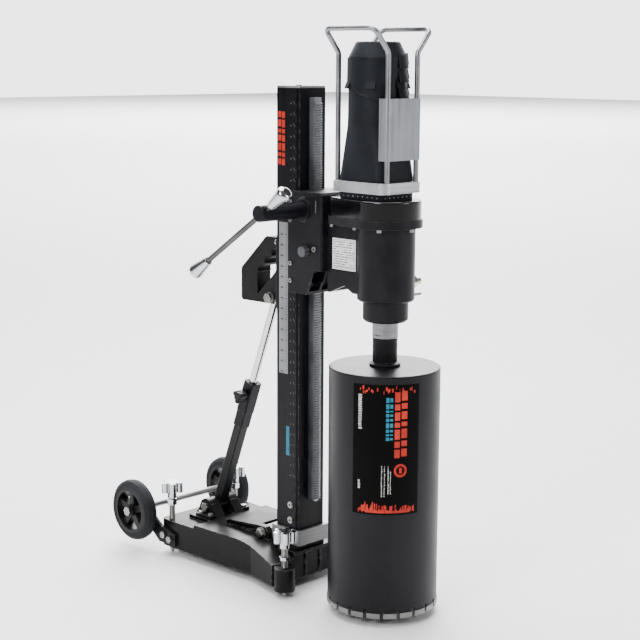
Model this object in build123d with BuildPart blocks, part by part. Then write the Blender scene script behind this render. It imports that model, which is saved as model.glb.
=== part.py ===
"""Core drill rig: a wheeled base, a tilting rack column with its rear strut, and a cranked
carriage that carries a geared electric motor and a large core bit.

Millimetres, +Z up. The origin is the point where the drilling axis meets the floor. The column
stands behind it, at +Y, and the feed crank is on the -X side.
"""
from build123d import *
import math
import os

os.makedirs("parts", exist_ok=True)

# ---------------------------------------------------------------- clearances
run_gap = 0.05          # radial, pins and shafts that turn
seat_gap = 0.02         # radial, rings pressed into their seats
side_gap = 0.4          # between flat faces that slide past each other

# ---------------------------------------------------------------- core bit and spindle
bit_radius = 100.0
bit_wall = 3.0
bit_bottom = 25.7
bit_top = 454.7
bit_end_plate = 6.0
segment_count = 21
segment_length = 24.0
segment_height = 9.4
segment_proud = 1.3     # past the tube wall, inside and outside
segment_slot = 6.0      # water slot height in the tube
weld_ring_radius = 28.0
weld_ring_height = 8.0
bit_hub_radius = 22.3
bit_hub_top = 505.5
spindle_radius = 16.0
spindle_nose_radius = 23.0
spindle_nose_top = 535.5
spindle_thread_bottom = 476.0
spindle_top = 739.5
spindle_bore = 5.0      # water way
spindle_thread_radius = 15.9

# ---------------------------------------------------------------- column
column_y = 218.0
column_width = 66.0
column_depth = 62.0
column_wall = 7.0
column_bottom = 86.0
column_top = 941.0
cap_thickness = 3.6
groove_depth = 4.0      # V groove in each side face
groove_inset = 5.5      # groove centre behind the front face
rack_width = 17.0
rack_depth = 17.0       # front face of the column to the tooth tips
rack_bottom = 163.0
rack_top = 924.0
rack_module = 1.5
rack_screw_radius = 2.5
rack_screw_depth = 9.0
rack_screw_heights = (200.0, 340.0, 480.0, 620.0, 760.0, 890.0)
cap_screw_x = -17.0
cap_screw_y = 206.0
cap_screw_radius = 2.5
tooth_share = 0.42      # tooth thickness on the pitch line, as a share of the pitch

# ---------------------------------------------------------------- column foot and tilt hinge
foot_wall = 7.0
foot_bottom = 80.0
foot_top = 109.0
spigot_top = 175.0
spigot_gap = 0.2
foot_screw_y = 209.0
foot_screw_heights = (125.0, 155.0)
foot_screw_radius = 4.0
hinge_y = 283.0
hinge_z = 83.0
hinge_pin_radius = 8.0
hinge_nut_radius = 12.0
barrel_radius = 12.5
barrel_half = 28.0
rest_pad_bottom = 70.0

# ---------------------------------------------------------------- base casting
base_bottom = 15.5
base_skirt = 7.0
base_deck = 9.0
base_rear_y = 523.0
base_rear_half = 99.0
base_flare_y = 470.0    # the sides run straight behind this
base_waist_y = 263.0
base_waist_half = 88.0
base_front_half = 104.0
base_front_y = 183.0
leveller_front_x = 91.0
leveller_front_y = 164.0
leveller_rear_x = 84.0
leveller_rear_y = 506.0
boss_radius = 19.5
boss_bottom = 12.0
boss_front_top = 56.0
rear_boss_radius = 14.0
deck_front_z = 58.0
deck_slope_start_y = 188.0
deck_high_start_y = 293.0
deck_high_z = 78.0
deck_step_y = 421.0
deck_rear_z = 71.0
cheek_inner = 28.4
cheek_outer = 41.0
cheek_front_y = 264.0
cheek_rear_y = 388.0
cheek_front_z = 97.0
cheek_rear_z = 87.0
cover_plate = 5.0
cover_start_y = 298.0
anchor_slot_y = 500.0
anchor_slot_width = 18.0
anchor_slot_length = 46.0

# ---------------------------------------------------------------- levelling screws
screw_radius = 6.0
front_screw_top = 104.0
rear_screw_top = 124.0
knob_height = 33.0
knob_radius = 22.0
knob_lobes = 5
front_nut_z = 71.0
rear_nut_z = 100.0
nut_height = 6.0
rear_nut_height = 12.0

# ---------------------------------------------------------------- wheels
axle_y = 577.0
axle_z = 81.3
axle_radius = 6.0
axle_half = 146.0
wheel_outer_x = 140.4
wheel_inner_x = 110.4
tyre_radius = 62.5
tyre_inner = 46.0
rim_wall = 6.0
wheel_hub_radius = 12.0
wheel_hub_inner_x = 106.0
spoke_count = 5
bracket_thickness = 6.0
bracket_bolts = ((488.0, 34.0), (508.0, 40.0))
bracket_bolt_radius = 4.1
bracket_bolt_depth = 6.0    # into the casting's side wall

# ---------------------------------------------------------------- strut
strut_top_y = 284.0
strut_top_z = 545.0
strut_low_y = 456.0
strut_low_z = 95.0
tube_side = 21.0
tube_wall = 2.2
strut_rod_radius = 8.0
strut_pin_radius = 6.0
eye_radius = 13.0
eye_half = 8.6
lug_radius = 13.5
lug_half = 13.6
tube_top = 283.0        # along the strut from the lower pivot
rod_bottom = 155.0
collar_bottom = 190.0
collar_step = 224.0
collar_top = 291.0
collar_side = 26.0
ear_inner = 14.0
ear_outer = 36.0
clamp_height = 262.0    # along the strut from the lower pivot
clamp_screw_radius = 4.0

# ---------------------------------------------------------------- carry handle
handle_half = 17.0
handle_flange = 8.0
handle_flange_half = 27.0
handle_bottom = 532.0
handle_grip_y = 320.0   # inner corner of the grip
handle_grip_z = 590.0
handle_top = 662.0
flange_screw_x = 22.0
flange_screw_radius = 3.0
flange_screw_heights = (540.0, 654.0)

# ---------------------------------------------------------------- carriage and crank
carriage_front = 113.0
carriage_rear = 197.0
carriage_bottom = 570.0
carriage_top = 757.0
pad_thickness = 5.0     # side face of the column to the pocket's wall
carriage_wall = 12.0
pocket_half = column_width / 2 + pad_thickness
carriage_half = pocket_half + carriage_wall
rack_channel_half = 11.0
pad_y = 192.3
pad_bottoms = (578.0, 690.0)
pad_length = 60.0
pad_screw_heights = (592.0, 624.0, 704.0, 738.0)
pad_screw_radius = 2.5
pad_screw_bite = 2.0
web_bolt_x = 25.0
web_bolt_heights = (628.0, 672.0)
web_bolt_radius = 4.0
web_bolt_bite = 11.0
lock_y = 152.0
lock_z = 650.0
lock_shaft_radius = 5.0
lock_depth = 9.0
stop_screw_y = 130.0
pinion_teeth = 18
crank_z = 725.0
crank_shaft_radius = 10.0
crank_shaft_end = 30.0
hub_overlap = 12.0
crank_boss_radius = 20.0
crank_boss_proud = 6.0
crank_hub_radius = 15.0
crank_hub_end = 163.0
bar_x = 151.0
bar_radius = 5.0
bar_angle = 33.7        # degrees below the horizontal, towards the rear
bar_near = 26.0         # hub axis to the near knob's small end
bar_far = 178.0         # hub axis to the far knob's small end
knob_length = 50.0

# ---------------------------------------------------------------- gearbox
housing_radius = 51.0
housing_bottom = 573.0
nose_bottom = 536.0
nose_radius = 40.5
flange_bottom = 704.0
flange_top = 718.0
case_top = 752.0
case_radius = 61.0
case_rear_radius = 20.0
case_rear_x = 26.0
case_rear_y = 88.0
flange_proud = 2.5
case_wall = 6.5
case_lid = 4.0
web_half = 33.0
bearing_radius = 28.0
lower_bearing_z = 545.0
lower_seal_z = 578.0
upper_seal_z = 612.0
seal_height = 8.0
idler_bearing_radius = 11.0
idler_bearing_height = 12.0
motor_pinion_hole = 12.0
case_screw_radius = 2.5
idler_y = 62.0
motor_y = 26.0
stage_two_module = 2.0
spindle_gear_teeth = 48
idler_pinion_teeth = 14
stage_one_module = 1.5
idler_gear_teeth = 36
motor_pinion_teeth = 12
stage_two_bottom = 722.0
stage_two_top = 738.0
stage_one_bottom = 740.5
stage_one_top = 746.5
idler_shaft_radius = 5.0

# ---------------------------------------------------------------- motor and its guard
motor_radius = 51.5
motor_wall = 4.0
motor_foot_x = 47.0
motor_foot_y = 57.0
motor_foot_top = 790.0
motor_foot_corner = 24.0
motor_waist_z = 880.0
motor_seam = 943.0
motor_shoulder = 996.0
motor_top = 1023.0
motor_top_radius = 39.0
armature_radius = 32.0
stator_inner = 33.0
armature_shaft_radius = 7.0
armature_bearing_radius = 14.0
motor_bearing_z = 976.0
stator_bottom = 842.0
stator_top = 930.0
commutator_radius = 14.0
brush_z = 956.0
fan_bottom = 810.0
fan_radius = 40.0
cowl_count = 6
gland_z = 815.0
gland_face = 54.0
gland_radius = 8.0
switch_z = 862.0
switch_half_y = 10.0
switch_half_z = 18.0
switch_face = 60.0
switch_floor = 52.5
switch_pivot_x = 58.0
switch_pin_radius = 2.0
switch_swing = 16.0     # degrees from off to on
guard_plate_bottom = 764.0
guard_plate_top = 783.0
guard_plate_x = 52.0
guard_plate_y = 66.0
post_x = 37.0
post_y = 59.0
guard_rod_radius = 4.75
guard_bend_z = 1004.0
guard_top = 1045.0
guard_spread = 34.0
guard_bend_radius = 14.0
shield_thickness = 1.5
shield_bottom = 821.0
shield_top = 927.0
shield_side = 19.0

# ---------------------------------------------------------------- water fitting
water_z = 599.0
water_hex_end = 74.0
water_nipple_end = 88.0
water_nipple_radius = 7.0
water_thread_radius = 8.0
valve_x = 66.0
valve_stem_radius = 3.0

# ---------------------------------------------------------------- worked out from the above
column_front = column_y - column_depth / 2
column_rear = column_y + column_depth / 2
rack_tip_y = column_front - rack_depth
pinion_pitch_radius = rack_module * pinion_teeth / 2
pinion_y = rack_tip_y + rack_module - pinion_pitch_radius
strut_length = math.hypot(strut_low_y - strut_top_y, strut_top_z - strut_low_z)
strut_plane = Plane(
    origin=(0, strut_low_y, strut_low_z),
    x_dir=(1, 0, 0),
    z_dir=(0, strut_top_y - strut_low_y, strut_top_z - strut_low_z),
)
bar_turn = math.radians(bar_angle)
bar_plane = Plane(
    origin=(-bar_x, pinion_y, crank_z),
    x_dir=(1, 0, 0),
    z_dir=(0, math.cos(bar_turn), -math.sin(bar_turn)),
)
case_screw_ring = case_radius - case_wall / 2
case_screw_places = [
    (case_screw_ring * math.cos(math.radians(a)), case_screw_ring * math.sin(math.radians(a)))
    for a in (30, 150, 210, 270, 330)
]
case_screw_places += [(side * (case_rear_x + 15.7), case_rear_y + 5.7) for side in (-1, 1)]
sides = (("left", -1), ("right", 1))
corners = (
    ("front_left", -leveller_front_x, leveller_front_y),
    ("front_right", leveller_front_x, leveller_front_y),
    ("rear_left", -leveller_rear_x, leveller_rear_y),
    ("rear_right", leveller_rear_x, leveller_rear_y),
)


# where a cylinder lies along its own axis: from its place up, or from its place down
standing = (Align.CENTER, Align.CENTER, Align.MIN)
hung = (Align.CENTER, Align.CENTER, Align.MAX)


def save(piece, name):
    """Labels a finished piece and writes it."""
    piece.part.label = name
    export_step(piece.part, f"parts/{name}.step")


def x_plane(x, y=0.0, z=0.0):
    """A sketch plane across X: sketch x runs along +Y, sketch y along +Z, normal +X."""
    return Plane(origin=(x, y, z), x_dir=(0, 1, 0), z_dir=(1, 0, 0))


def turned_plane(x, y, angle=0.0):
    """A sketch plane through an upright axis: sketch x outwards at the angle, sketch y up."""
    turn = math.radians(angle)
    outwards = (math.cos(turn), math.sin(turn), 0)
    return Plane(origin=(x, y, 0), x_dir=outwards, z_dir=(math.sin(turn), -math.cos(turn), 0))


def upright(x, y):
    """An upright axis."""
    return Axis((x, y, 0), (0, 0, 1))


def gear_outline(teeth, module, phase):
    """Points of a gear's outline: four for each tooth. phase is the first tooth's angle."""
    pitch_radius = teeth * module / 2
    tip = pitch_radius + 0.9 * module
    root = pitch_radius - 1.15 * module
    step = 360 / teeth
    half = step * tooth_share / 2
    points = []
    for i in range(teeth):
        middle = phase + i * step
        for radius, turn in ((root, -1.45), (tip, -0.5), (tip, 0.5), (root, 1.45)):
            angle = math.radians(middle + turn * half)
            points.append((radius * math.cos(angle), radius * math.sin(angle)))
    return points


# ================================================================ BASE
# The casting: a skirted box with a waist, two round bosses in front and a raised hinge housing.
plan_half = [
    (0, base_rear_y),
    (base_rear_half, base_rear_y),
    (base_rear_half, base_flare_y),
    (base_waist_half, base_waist_y),
    (base_front_half, leveller_front_y + 22),
    (leveller_front_x - boss_radius, leveller_front_y),
    (leveller_front_x - boss_radius, base_front_y),
    (0, base_front_y),
]
deck_line = [
    (leveller_front_y - 25, base_bottom),
    (leveller_front_y - 25, deck_front_z),
    (deck_slope_start_y, deck_front_z),
    (deck_high_start_y, deck_high_z),
    (deck_step_y, deck_high_z),
    (deck_step_y + 4, deck_rear_z),
    (base_rear_y + 5, deck_rear_z),
    (base_rear_y + 5, base_bottom),
]
screw_bore = screw_radius + run_gap
with BuildPart() as base_casting:
    with BuildSketch(Plane.XY.offset(base_bottom)):
        with BuildLine():
            Polyline(plan_half, close=True)
        make_face()
        mirror(about=Plane.YZ)
    extrude(amount=deck_high_z - base_bottom)
    with BuildSketch(x_plane(-base_front_half - 10)):
        with BuildLine():
            Polyline(deck_line, close=True)
        make_face()
    extrude(amount=2 * base_front_half + 20, mode=Mode.INTERSECT)
    rear_corners = base_casting.edges().filter_by(Axis.Z).group_by(Axis.Y)[-1]
    fillet(rear_corners, 10)
    # the hollow underneath, open to the floor
    with BuildSketch(Plane.XY.offset(base_bottom)):
        with BuildLine():
            Polyline(
                (-base_rear_half + base_skirt, base_rear_y - base_skirt),
                (base_rear_half - base_skirt, base_rear_y - base_skirt),
                (base_rear_half - base_skirt, base_flare_y),
                (base_waist_half - base_skirt, base_waist_y),
                (base_waist_half - base_skirt, base_front_y + base_skirt),
                (-base_waist_half + base_skirt, base_front_y + base_skirt),
                (-base_waist_half + base_skirt, base_waist_y),
                (-base_rear_half + base_skirt, base_flare_y),
                close=True,
            )
        make_face()
    extrude(amount=deck_front_z - base_deck - base_bottom, mode=Mode.SUBTRACT)
    with BuildSketch(Plane.XY.offset(base_bottom)):
        with Locations((0, (cover_start_y + base_deck + base_rear_y - base_skirt) / 2)):
            Rectangle(
                2 * (base_waist_half - base_skirt),
                base_rear_y - base_skirt - cover_start_y - base_deck,
            )
    extrude(amount=deck_rear_z - base_deck - base_bottom, mode=Mode.SUBTRACT)
    # raised housing of the tilt hinge: two cheeks and a cover plate behind the barrel
    for side in (-1, 1):
        with BuildSketch(x_plane(side * (cheek_inner + cheek_outer) / 2)):
            with BuildLine():
                Polyline(
                    (cheek_front_y, deck_front_z),
                    (cheek_front_y, cheek_front_z - 12),
                    (cheek_front_y + 8, cheek_front_z),
                    (hinge_y + 8, cheek_front_z),
                    (cheek_rear_y, cheek_rear_z),
                    (cheek_rear_y, deck_front_z),
                    close=True,
                )
            make_face()
        extrude(amount=(cheek_outer - cheek_inner) / 2, both=True)
    with BuildSketch(x_plane(0)):
        with BuildLine():
            Polyline(
                (cover_start_y, cheek_front_z - 0.7 - cover_plate),
                (cover_start_y, cheek_front_z - 0.7),
                (cheek_rear_y, cheek_rear_z),
                (cheek_rear_y, cheek_rear_z - cover_plate),
                close=True,
            )
        make_face()
    extrude(amount=cheek_outer, both=True)
    # long pocket in each cheek's outer face
    for side in (-1, 1):
        with BuildSketch(x_plane(side * cheek_outer)):
            with Locations((hinge_y + 56, hinge_z + 1.5)):
                SlotOverall(76, 8, rotation=-5)
        extrude(amount=-side * 4.5, mode=Mode.SUBTRACT)
    # well that the hinge barrel turns in
    with BuildSketch(Plane.XY.offset(deck_front_z)):
        with Locations((0, (cheek_front_y - 6 + cover_start_y) / 2)):
            Rectangle(2 * cheek_inner, cover_start_y - cheek_front_y + 6)
    extrude(amount=cheek_rear_z - deck_front_z - cover_plate - 0.1, mode=Mode.SUBTRACT)
    # platform under the column foot, with a lip along its front
    platform_bottom = deck_front_z - base_deck
    with Locations((0, (base_front_y + cheek_front_y - 6) / 2, (platform_bottom + rest_pad_bottom) / 2)):
        Box(2 * cheek_outer + 12, cheek_front_y - 6 - base_front_y, rest_pad_bottom - platform_bottom)
    with Locations((0, base_front_y - 1.5, rest_pad_bottom - 3)):
        Box(2 * cheek_outer + 20, 3, 6)
    for side in (-1, 1):
        with Locations((side * 19, base_front_y - 1.5, (base_bottom + rest_pad_bottom) / 2 - 3)):
            Box(4, 3, rest_pad_bottom - base_bottom - 6)
    # seat under the strut ears, with a well between them for the strut's end
    with Locations((0, strut_low_y - 3, (deck_rear_z + deck_high_z) / 2 - 1)):
        Box(2 * (ear_outer + 20), 66, deck_high_z - deck_rear_z + 2)
    with Locations((0, strut_low_y, deck_high_z)):
        Box(2 * ear_inner, 60, 2 * (deck_high_z - deck_rear_z), mode=Mode.SUBTRACT)
    # bosses of the levelling screws
    for name, boss_x, boss_y in corners:
        front = boss_y == leveller_front_y
        radius = boss_radius if front else rear_boss_radius
        low = boss_bottom if front else base_bottom
        high = boss_front_top if front else deck_rear_z
        with Locations((boss_x, boss_y, (low + high) / 2)):
            Cylinder(radius, high - low)
            Cylinder(screw_bore, high - low + 20, mode=Mode.SUBTRACT)
    # bolt holes of the axle brackets
    for side in (-1, 1):
        for bolt_y, bolt_z in bracket_bolts:
            with Locations(Location((side * base_rear_half, bolt_y, bolt_z), (0, 90, 0))):
                Cylinder(bracket_bolt_radius + seat_gap, 2 * bracket_bolt_depth, mode=Mode.SUBTRACT)
    # bore of the hinge pin and slot of the floor anchor
    with Locations(Location((0, hinge_y, hinge_z), (0, 90, 0))):
        Cylinder(hinge_pin_radius + seat_gap, 2 * cheek_outer + 10, mode=Mode.SUBTRACT)
    for side in (-1, 1):
        with BuildSketch(x_plane(side * cheek_outer, hinge_y, hinge_z)):
            Circle(hinge_nut_radius + 1.5)
        extrude(amount=side * 13, mode=Mode.SUBTRACT)
    with BuildSketch(Plane.XY.offset(base_bottom)):
        with Locations((0, anchor_slot_y)):
            SlotOverall(anchor_slot_length, anchor_slot_width)
    extrude(amount=deck_high_z, mode=Mode.SUBTRACT)
save(base_casting, "base_casting")

with BuildPart() as rest_pad:
    with Locations((0, base_front_y + 30, (rest_pad_bottom + foot_bottom - 0.1) / 2)):
        Box(2 * 36, 54, foot_bottom - 0.1 - rest_pad_bottom)
    fillet(rest_pad.edges().filter_by(Axis.Z), 4)
save(rest_pad, "rest_pad")

with BuildPart() as hinge_bolt:
    with BuildSketch(x_plane(-cheek_outer, hinge_y, hinge_z)):
        Circle(hinge_pin_radius)
    extrude(amount=2 * cheek_outer + 13)
    with BuildSketch(x_plane(-cheek_outer, hinge_y, hinge_z)):
        Circle(hinge_nut_radius)
    extrude(amount=-2)
    with BuildSketch(x_plane(-cheek_outer - 2, hinge_y, hinge_z)):
        RegularPolygon(10, 6)
    extrude(amount=-7)
    with BuildSketch(x_plane(cheek_outer, hinge_y, hinge_z)):
        RegularPolygon(hinge_nut_radius, 6)
    extrude(amount=9)
    chamfer(hinge_bolt.faces().sort_by(Axis.X)[0].edges(), 1.2)
save(hinge_bolt, "hinge_bolt")

# two cast ears that hold the strut's lower end between them
with BuildPart() as strut_ears:
    for side in (-1, 1):
        inner = side * ear_inner
        with BuildSketch(x_plane(inner)):
            with BuildLine():
                Polyline(
                    (strut_low_y - 34, deck_high_z),
                    (strut_low_y - 16, strut_low_z + 8),
                    (strut_low_y + 14, strut_low_z + 12),
                    (strut_low_y + 28, deck_high_z),
                    close=True,
                )
            make_face()
            with Locations((strut_low_y, strut_low_z)):
                Circle(17)
            with Locations((strut_low_y, deck_high_z - 6)):
                Rectangle(90, 12, mode=Mode.SUBTRACT)
        extrude(amount=side * (ear_outer - ear_inner))
        with Locations((side * (ear_outer + 8), strut_low_y - 10, deck_high_z + 3)):
            Box(18, 44, 6)
        with Locations(Location((side * 25, strut_low_y, strut_low_z), (0, 90, 0))):
            Cylinder(strut_pin_radius + seat_gap, 30, mode=Mode.SUBTRACT)
        with Locations((side * (ear_outer + 9), strut_low_y - 10, deck_high_z + 3)):
            with GridLocations(0, 28, 1, 2):
                Cylinder(3.3, 8, mode=Mode.SUBTRACT)
save(strut_ears, "strut_ears")

# bolts of the ears and of the axle, and the two short bolts at the strut's lower pivot
with BuildPart() as base_fasteners:
    for side in (-1, 1):
        with Locations((side * (ear_outer + 9), strut_low_y - 10, deck_high_z)):
            with GridLocations(0, 28, 1, 2):
                Cylinder(3.2, 8, align=standing)
                with Locations((0, 0, 6)):
                    Cylinder(5, 4, align=standing)
        with BuildSketch(x_plane(side * ear_inner, strut_low_y, strut_low_z)):
            Circle(strut_pin_radius)
        extrude(amount=side * (ear_outer - ear_inner))
        with BuildSketch(x_plane(side * ear_outer, strut_low_y, strut_low_z)):
            RegularPolygon(9.5, 6)
        extrude(amount=side * 7)
    for side in (-1, 1):
        with BuildSketch(x_plane(side * (wheel_outer_x + 2 * side_gap), axle_y, axle_z)):
            RegularPolygon(9.5, 6)
            Circle(axle_radius + seat_gap, mode=Mode.SUBTRACT)
        extrude(amount=side * 5)
        for bolt_y, bolt_z in bracket_bolts:
            with BuildSketch(x_plane(side * (base_rear_half - bracket_bolt_depth), bolt_y, bolt_z)):
                Circle(bracket_bolt_radius)
            extrude(amount=side * (bracket_bolt_depth + bracket_thickness))
            with BuildSketch(x_plane(side * (base_rear_half + bracket_thickness), bolt_y, bolt_z)):
                RegularPolygon(7.5, 6)
            extrude(amount=side * 5)
save(base_fasteners, "base_fasteners")

# ================================================================ AXLE AND WHEELS
with BuildPart() as axle_brackets:
    for side in (-1, 1):
        with BuildSketch(x_plane(side * base_rear_half)):
            with BuildLine():
                Polyline(
                    (base_rear_y - 50, 22),
                    (base_rear_y - 50, 46),
                    (base_rear_y - 6, 56),
                    (axle_y - 9, axle_z + 10),
                    (axle_y + 11, axle_z - 8),
                    (base_rear_y, 22),
                    close=True,
                )
            make_face()
            with Locations((axle_y, axle_z)):
                Circle(14)
                Circle(axle_radius + seat_gap, mode=Mode.SUBTRACT)
            with Locations(bracket_bolts):
                Circle(bracket_bolt_radius + seat_gap, mode=Mode.SUBTRACT)
        extrude(amount=side * bracket_thickness)
save(axle_brackets, "axle_brackets")

with BuildPart() as axle:
    with Locations(Location((0, axle_y, axle_z), (0, 90, 0))):
        Cylinder(axle_radius, 2 * axle_half)
    chamfer(axle.edges().filter_by(GeomType.CIRCLE), 1)
save(axle, "axle")

tread_half = (wheel_outer_x - wheel_inner_x) / 2
for side_name, side in sides:
    wheel_x = side * (wheel_outer_x + wheel_inner_x) / 2
    wheel_axis = Axis((wheel_x, axle_y, axle_z), (1, 0, 0))
    with BuildPart() as tyre:
        with BuildSketch(Plane((wheel_x, axle_y, axle_z), x_dir=(0, 0, 1), z_dir=(0, 1, 0))) as tread:
            with BuildLine():
                Polyline(
                    (tyre_inner, -tread_half + 1),
                    (tyre_radius - 9, -tread_half),
                    (tyre_radius - 2, -tread_half + 6),
                    (tyre_radius, 0),
                    (tyre_radius - 2, tread_half - 6),
                    (tyre_radius - 9, tread_half),
                    (tyre_inner, tread_half - 1),
                    close=True,
                )
            make_face()
            fillet(tread.vertices().group_by(Axis.X)[1], 3)
        revolve(axis=wheel_axis)
    save(tyre, f"tyre_{side_name}")

    with BuildPart() as wheel_hub:
        with BuildSketch(x_plane(wheel_x, axle_y, axle_z)):
            Circle(tyre_inner)
            Circle(tyre_inner - rim_wall, mode=Mode.SUBTRACT)
        extrude(amount=tread_half - 1, both=True)
        with BuildSketch(x_plane(wheel_x, axle_y, axle_z)):
            Circle(wheel_hub_radius)
            with PolarLocations((tyre_inner - rim_wall + wheel_hub_radius) / 2, spoke_count, start_angle=90):
                Rectangle(tyre_inner - rim_wall - wheel_hub_radius + 4, 13)
        extrude(amount=8, both=True)
        with BuildSketch(x_plane(side * wheel_hub_inner_x, axle_y, axle_z)):
            Circle(wheel_hub_radius)
        extrude(amount=side * (wheel_outer_x - wheel_hub_inner_x))
        with Locations(Location((wheel_x, axle_y, axle_z), (0, 90, 0))):
            Cylinder(axle_radius + run_gap, 60, mode=Mode.SUBTRACT)
    save(wheel_hub, f"wheel_hub_{side_name}")

# ================================================================ LEVELLING SCREWS
for name, screw_x, screw_y in corners:
    front = screw_y == leveller_front_y
    top = front_screw_top if front else rear_screw_top
    nut_low = front_nut_z if front else rear_nut_z
    nut_tall = nut_height if front else rear_nut_height
    with BuildPart() as screw:
        with BuildSketch(turned_plane(screw_x, screw_y)):
            with BuildLine():
                Polyline(
                    (0, 0),
                    (2.2, 0),
                    (screw_radius, 7),
                    (screw_radius, top),
                    (0, top),
                    close=True,
                )
            make_face()
        revolve(axis=upright(screw_x, screw_y))
    save(screw, f"levelling_screw_{name}")

    # star knob with its hub, and the lock nut on the thread below it
    with BuildPart() as knob:
        with BuildSketch(Plane((screw_x, screw_y, top - 10))):
            Circle(9)
        extrude(amount=12)
        with BuildSketch(Plane((screw_x, screw_y, top + 2))):
            Circle(12)
            with PolarLocations(15, knob_lobes, start_angle=20):
                Circle(knob_radius - 15)
        extrude(amount=knob_height - 12)
        with BuildSketch(Plane((screw_x, screw_y, top - 10))):
            Circle(screw_radius + seat_gap)
        extrude(amount=10, mode=Mode.SUBTRACT)
        with BuildSketch(Plane((screw_x, screw_y, nut_low))):
            RegularPolygon(10.5, 6)
            Circle(screw_radius + seat_gap, mode=Mode.SUBTRACT)
        extrude(amount=nut_tall)
    save(knob, f"levelling_knob_{name}")

# ================================================================ COLUMN
with BuildPart() as column_tube:
    with BuildSketch(Plane((0, column_y, column_bottom))):
        Rectangle(column_width, column_depth)
        Rectangle(column_width - 2 * column_wall, column_depth - 2 * column_wall, mode=Mode.SUBTRACT)
        for side in (-1, 1):
            wall_x = side * column_width / 2
            groove_y = -column_depth / 2 + groove_inset
            with BuildLine():
                Polyline(
                    (wall_x, groove_y - groove_depth),
                    (wall_x - side * groove_depth, groove_y),
                    (wall_x, groove_y + groove_depth),
                    close=True,
                )
            make_face(mode=Mode.SUBTRACT)
    extrude(amount=column_top - column_bottom)
    corner_edges = column_tube.edges().filter_by(Axis.Z)
    outer = corner_edges.filter_by(lambda e: abs(abs(e.center().X) - column_width / 2) < 0.01)
    rear_corners = outer.filter_by(lambda e: e.center().Y > column_rear - 0.01)
    front_corners = outer.filter_by(lambda e: e.center().Y < column_front + 0.01)
    chamfer(rear_corners, 1.5)
    chamfer(front_corners, 1)
    for screw_z in rack_screw_heights:
        with Locations(Location((0, column_front, screw_z), (90, 0, 0))):
            Cylinder(rack_screw_radius + seat_gap, 2 * column_wall + 2, mode=Mode.SUBTRACT)
    for screw_z in foot_screw_heights:
        with Locations(Location((0, foot_screw_y, screw_z), (0, 90, 0))):
            Cylinder(foot_screw_radius + seat_gap, column_width + 2, mode=Mode.SUBTRACT)
    for screw_z in flange_screw_heights:
        for side in (-1, 1):
            with Locations(Location((side * flange_screw_x, column_rear, screw_z), (90, 0, 0))):
                Cylinder(flange_screw_radius + seat_gap, 2 * column_wall + 2, mode=Mode.SUBTRACT)
save(column_tube, "column_tube")

with BuildPart() as column_cap:
    with BuildSketch(Plane((0, column_y, column_top))):
        RectangleRounded(column_width, column_depth, 3)
    extrude(amount=cap_thickness)
    with BuildSketch(Plane((0, column_y, column_top))):
        Rectangle(column_width - 2 * column_wall - 0.4, column_depth - 2 * column_wall - 0.4)
    extrude(amount=-12)
    with Locations((cap_screw_x, cap_screw_y, column_top)):
        Cylinder(cap_screw_radius + seat_gap, 40, mode=Mode.SUBTRACT)
save(column_cap, "column_cap")

# rack on the column's front face: a bar with teeth across its whole width
rack_pitch = math.pi * rack_module
rack_pitch_y = rack_tip_y + rack_module
rack_teeth = int((rack_top - rack_bottom - 8) / rack_pitch)
tooth_middle = crank_z      # a pinion tooth space meets this rack tooth at rest
lowest_tooth = tooth_middle - rack_pitch * int((tooth_middle - rack_bottom - 4) / rack_pitch)
half_tooth = rack_pitch * tooth_share / 2
rack_line = [(rack_bottom, column_front)]
rack_root_y = rack_pitch_y + 1.25 * rack_module
rack_line.append((rack_bottom, rack_root_y))
for i in range(rack_teeth):
    middle = lowest_tooth + i * rack_pitch
    rack_line.append((middle - half_tooth - 0.55, rack_root_y))
    rack_line.append((middle - half_tooth + 0.45, rack_tip_y))
    rack_line.append((middle + half_tooth - 0.45, rack_tip_y))
    rack_line.append((middle + half_tooth + 0.55, rack_root_y))
rack_line.append((rack_top, rack_root_y))
rack_line.append((rack_top, column_front))
with BuildPart() as rack:
    with BuildSketch(x_plane(-rack_width / 2)):
        with BuildLine():
            Polyline([(y, z) for z, y in rack_line], close=True)
        make_face()
    extrude(amount=rack_width)
    with BuildSketch(Plane.XZ.offset(-rack_tip_y + 5)):
        with Locations((0, rack_bottom)):
            Rectangle(rack_width + 2, 10)
            with Locations((0, rack_width / 2)):
                Circle(rack_width / 2 - 0.01, mode=Mode.SUBTRACT)
    extrude(amount=-rack_depth - 10, mode=Mode.SUBTRACT)
    for screw_z in rack_screw_heights:
        with Locations(Location((0, column_front, screw_z), (90, 0, 0))):
            Cylinder(rack_screw_radius + seat_gap, 2 * rack_screw_depth, mode=Mode.SUBTRACT)
save(rack, "rack")

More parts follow.
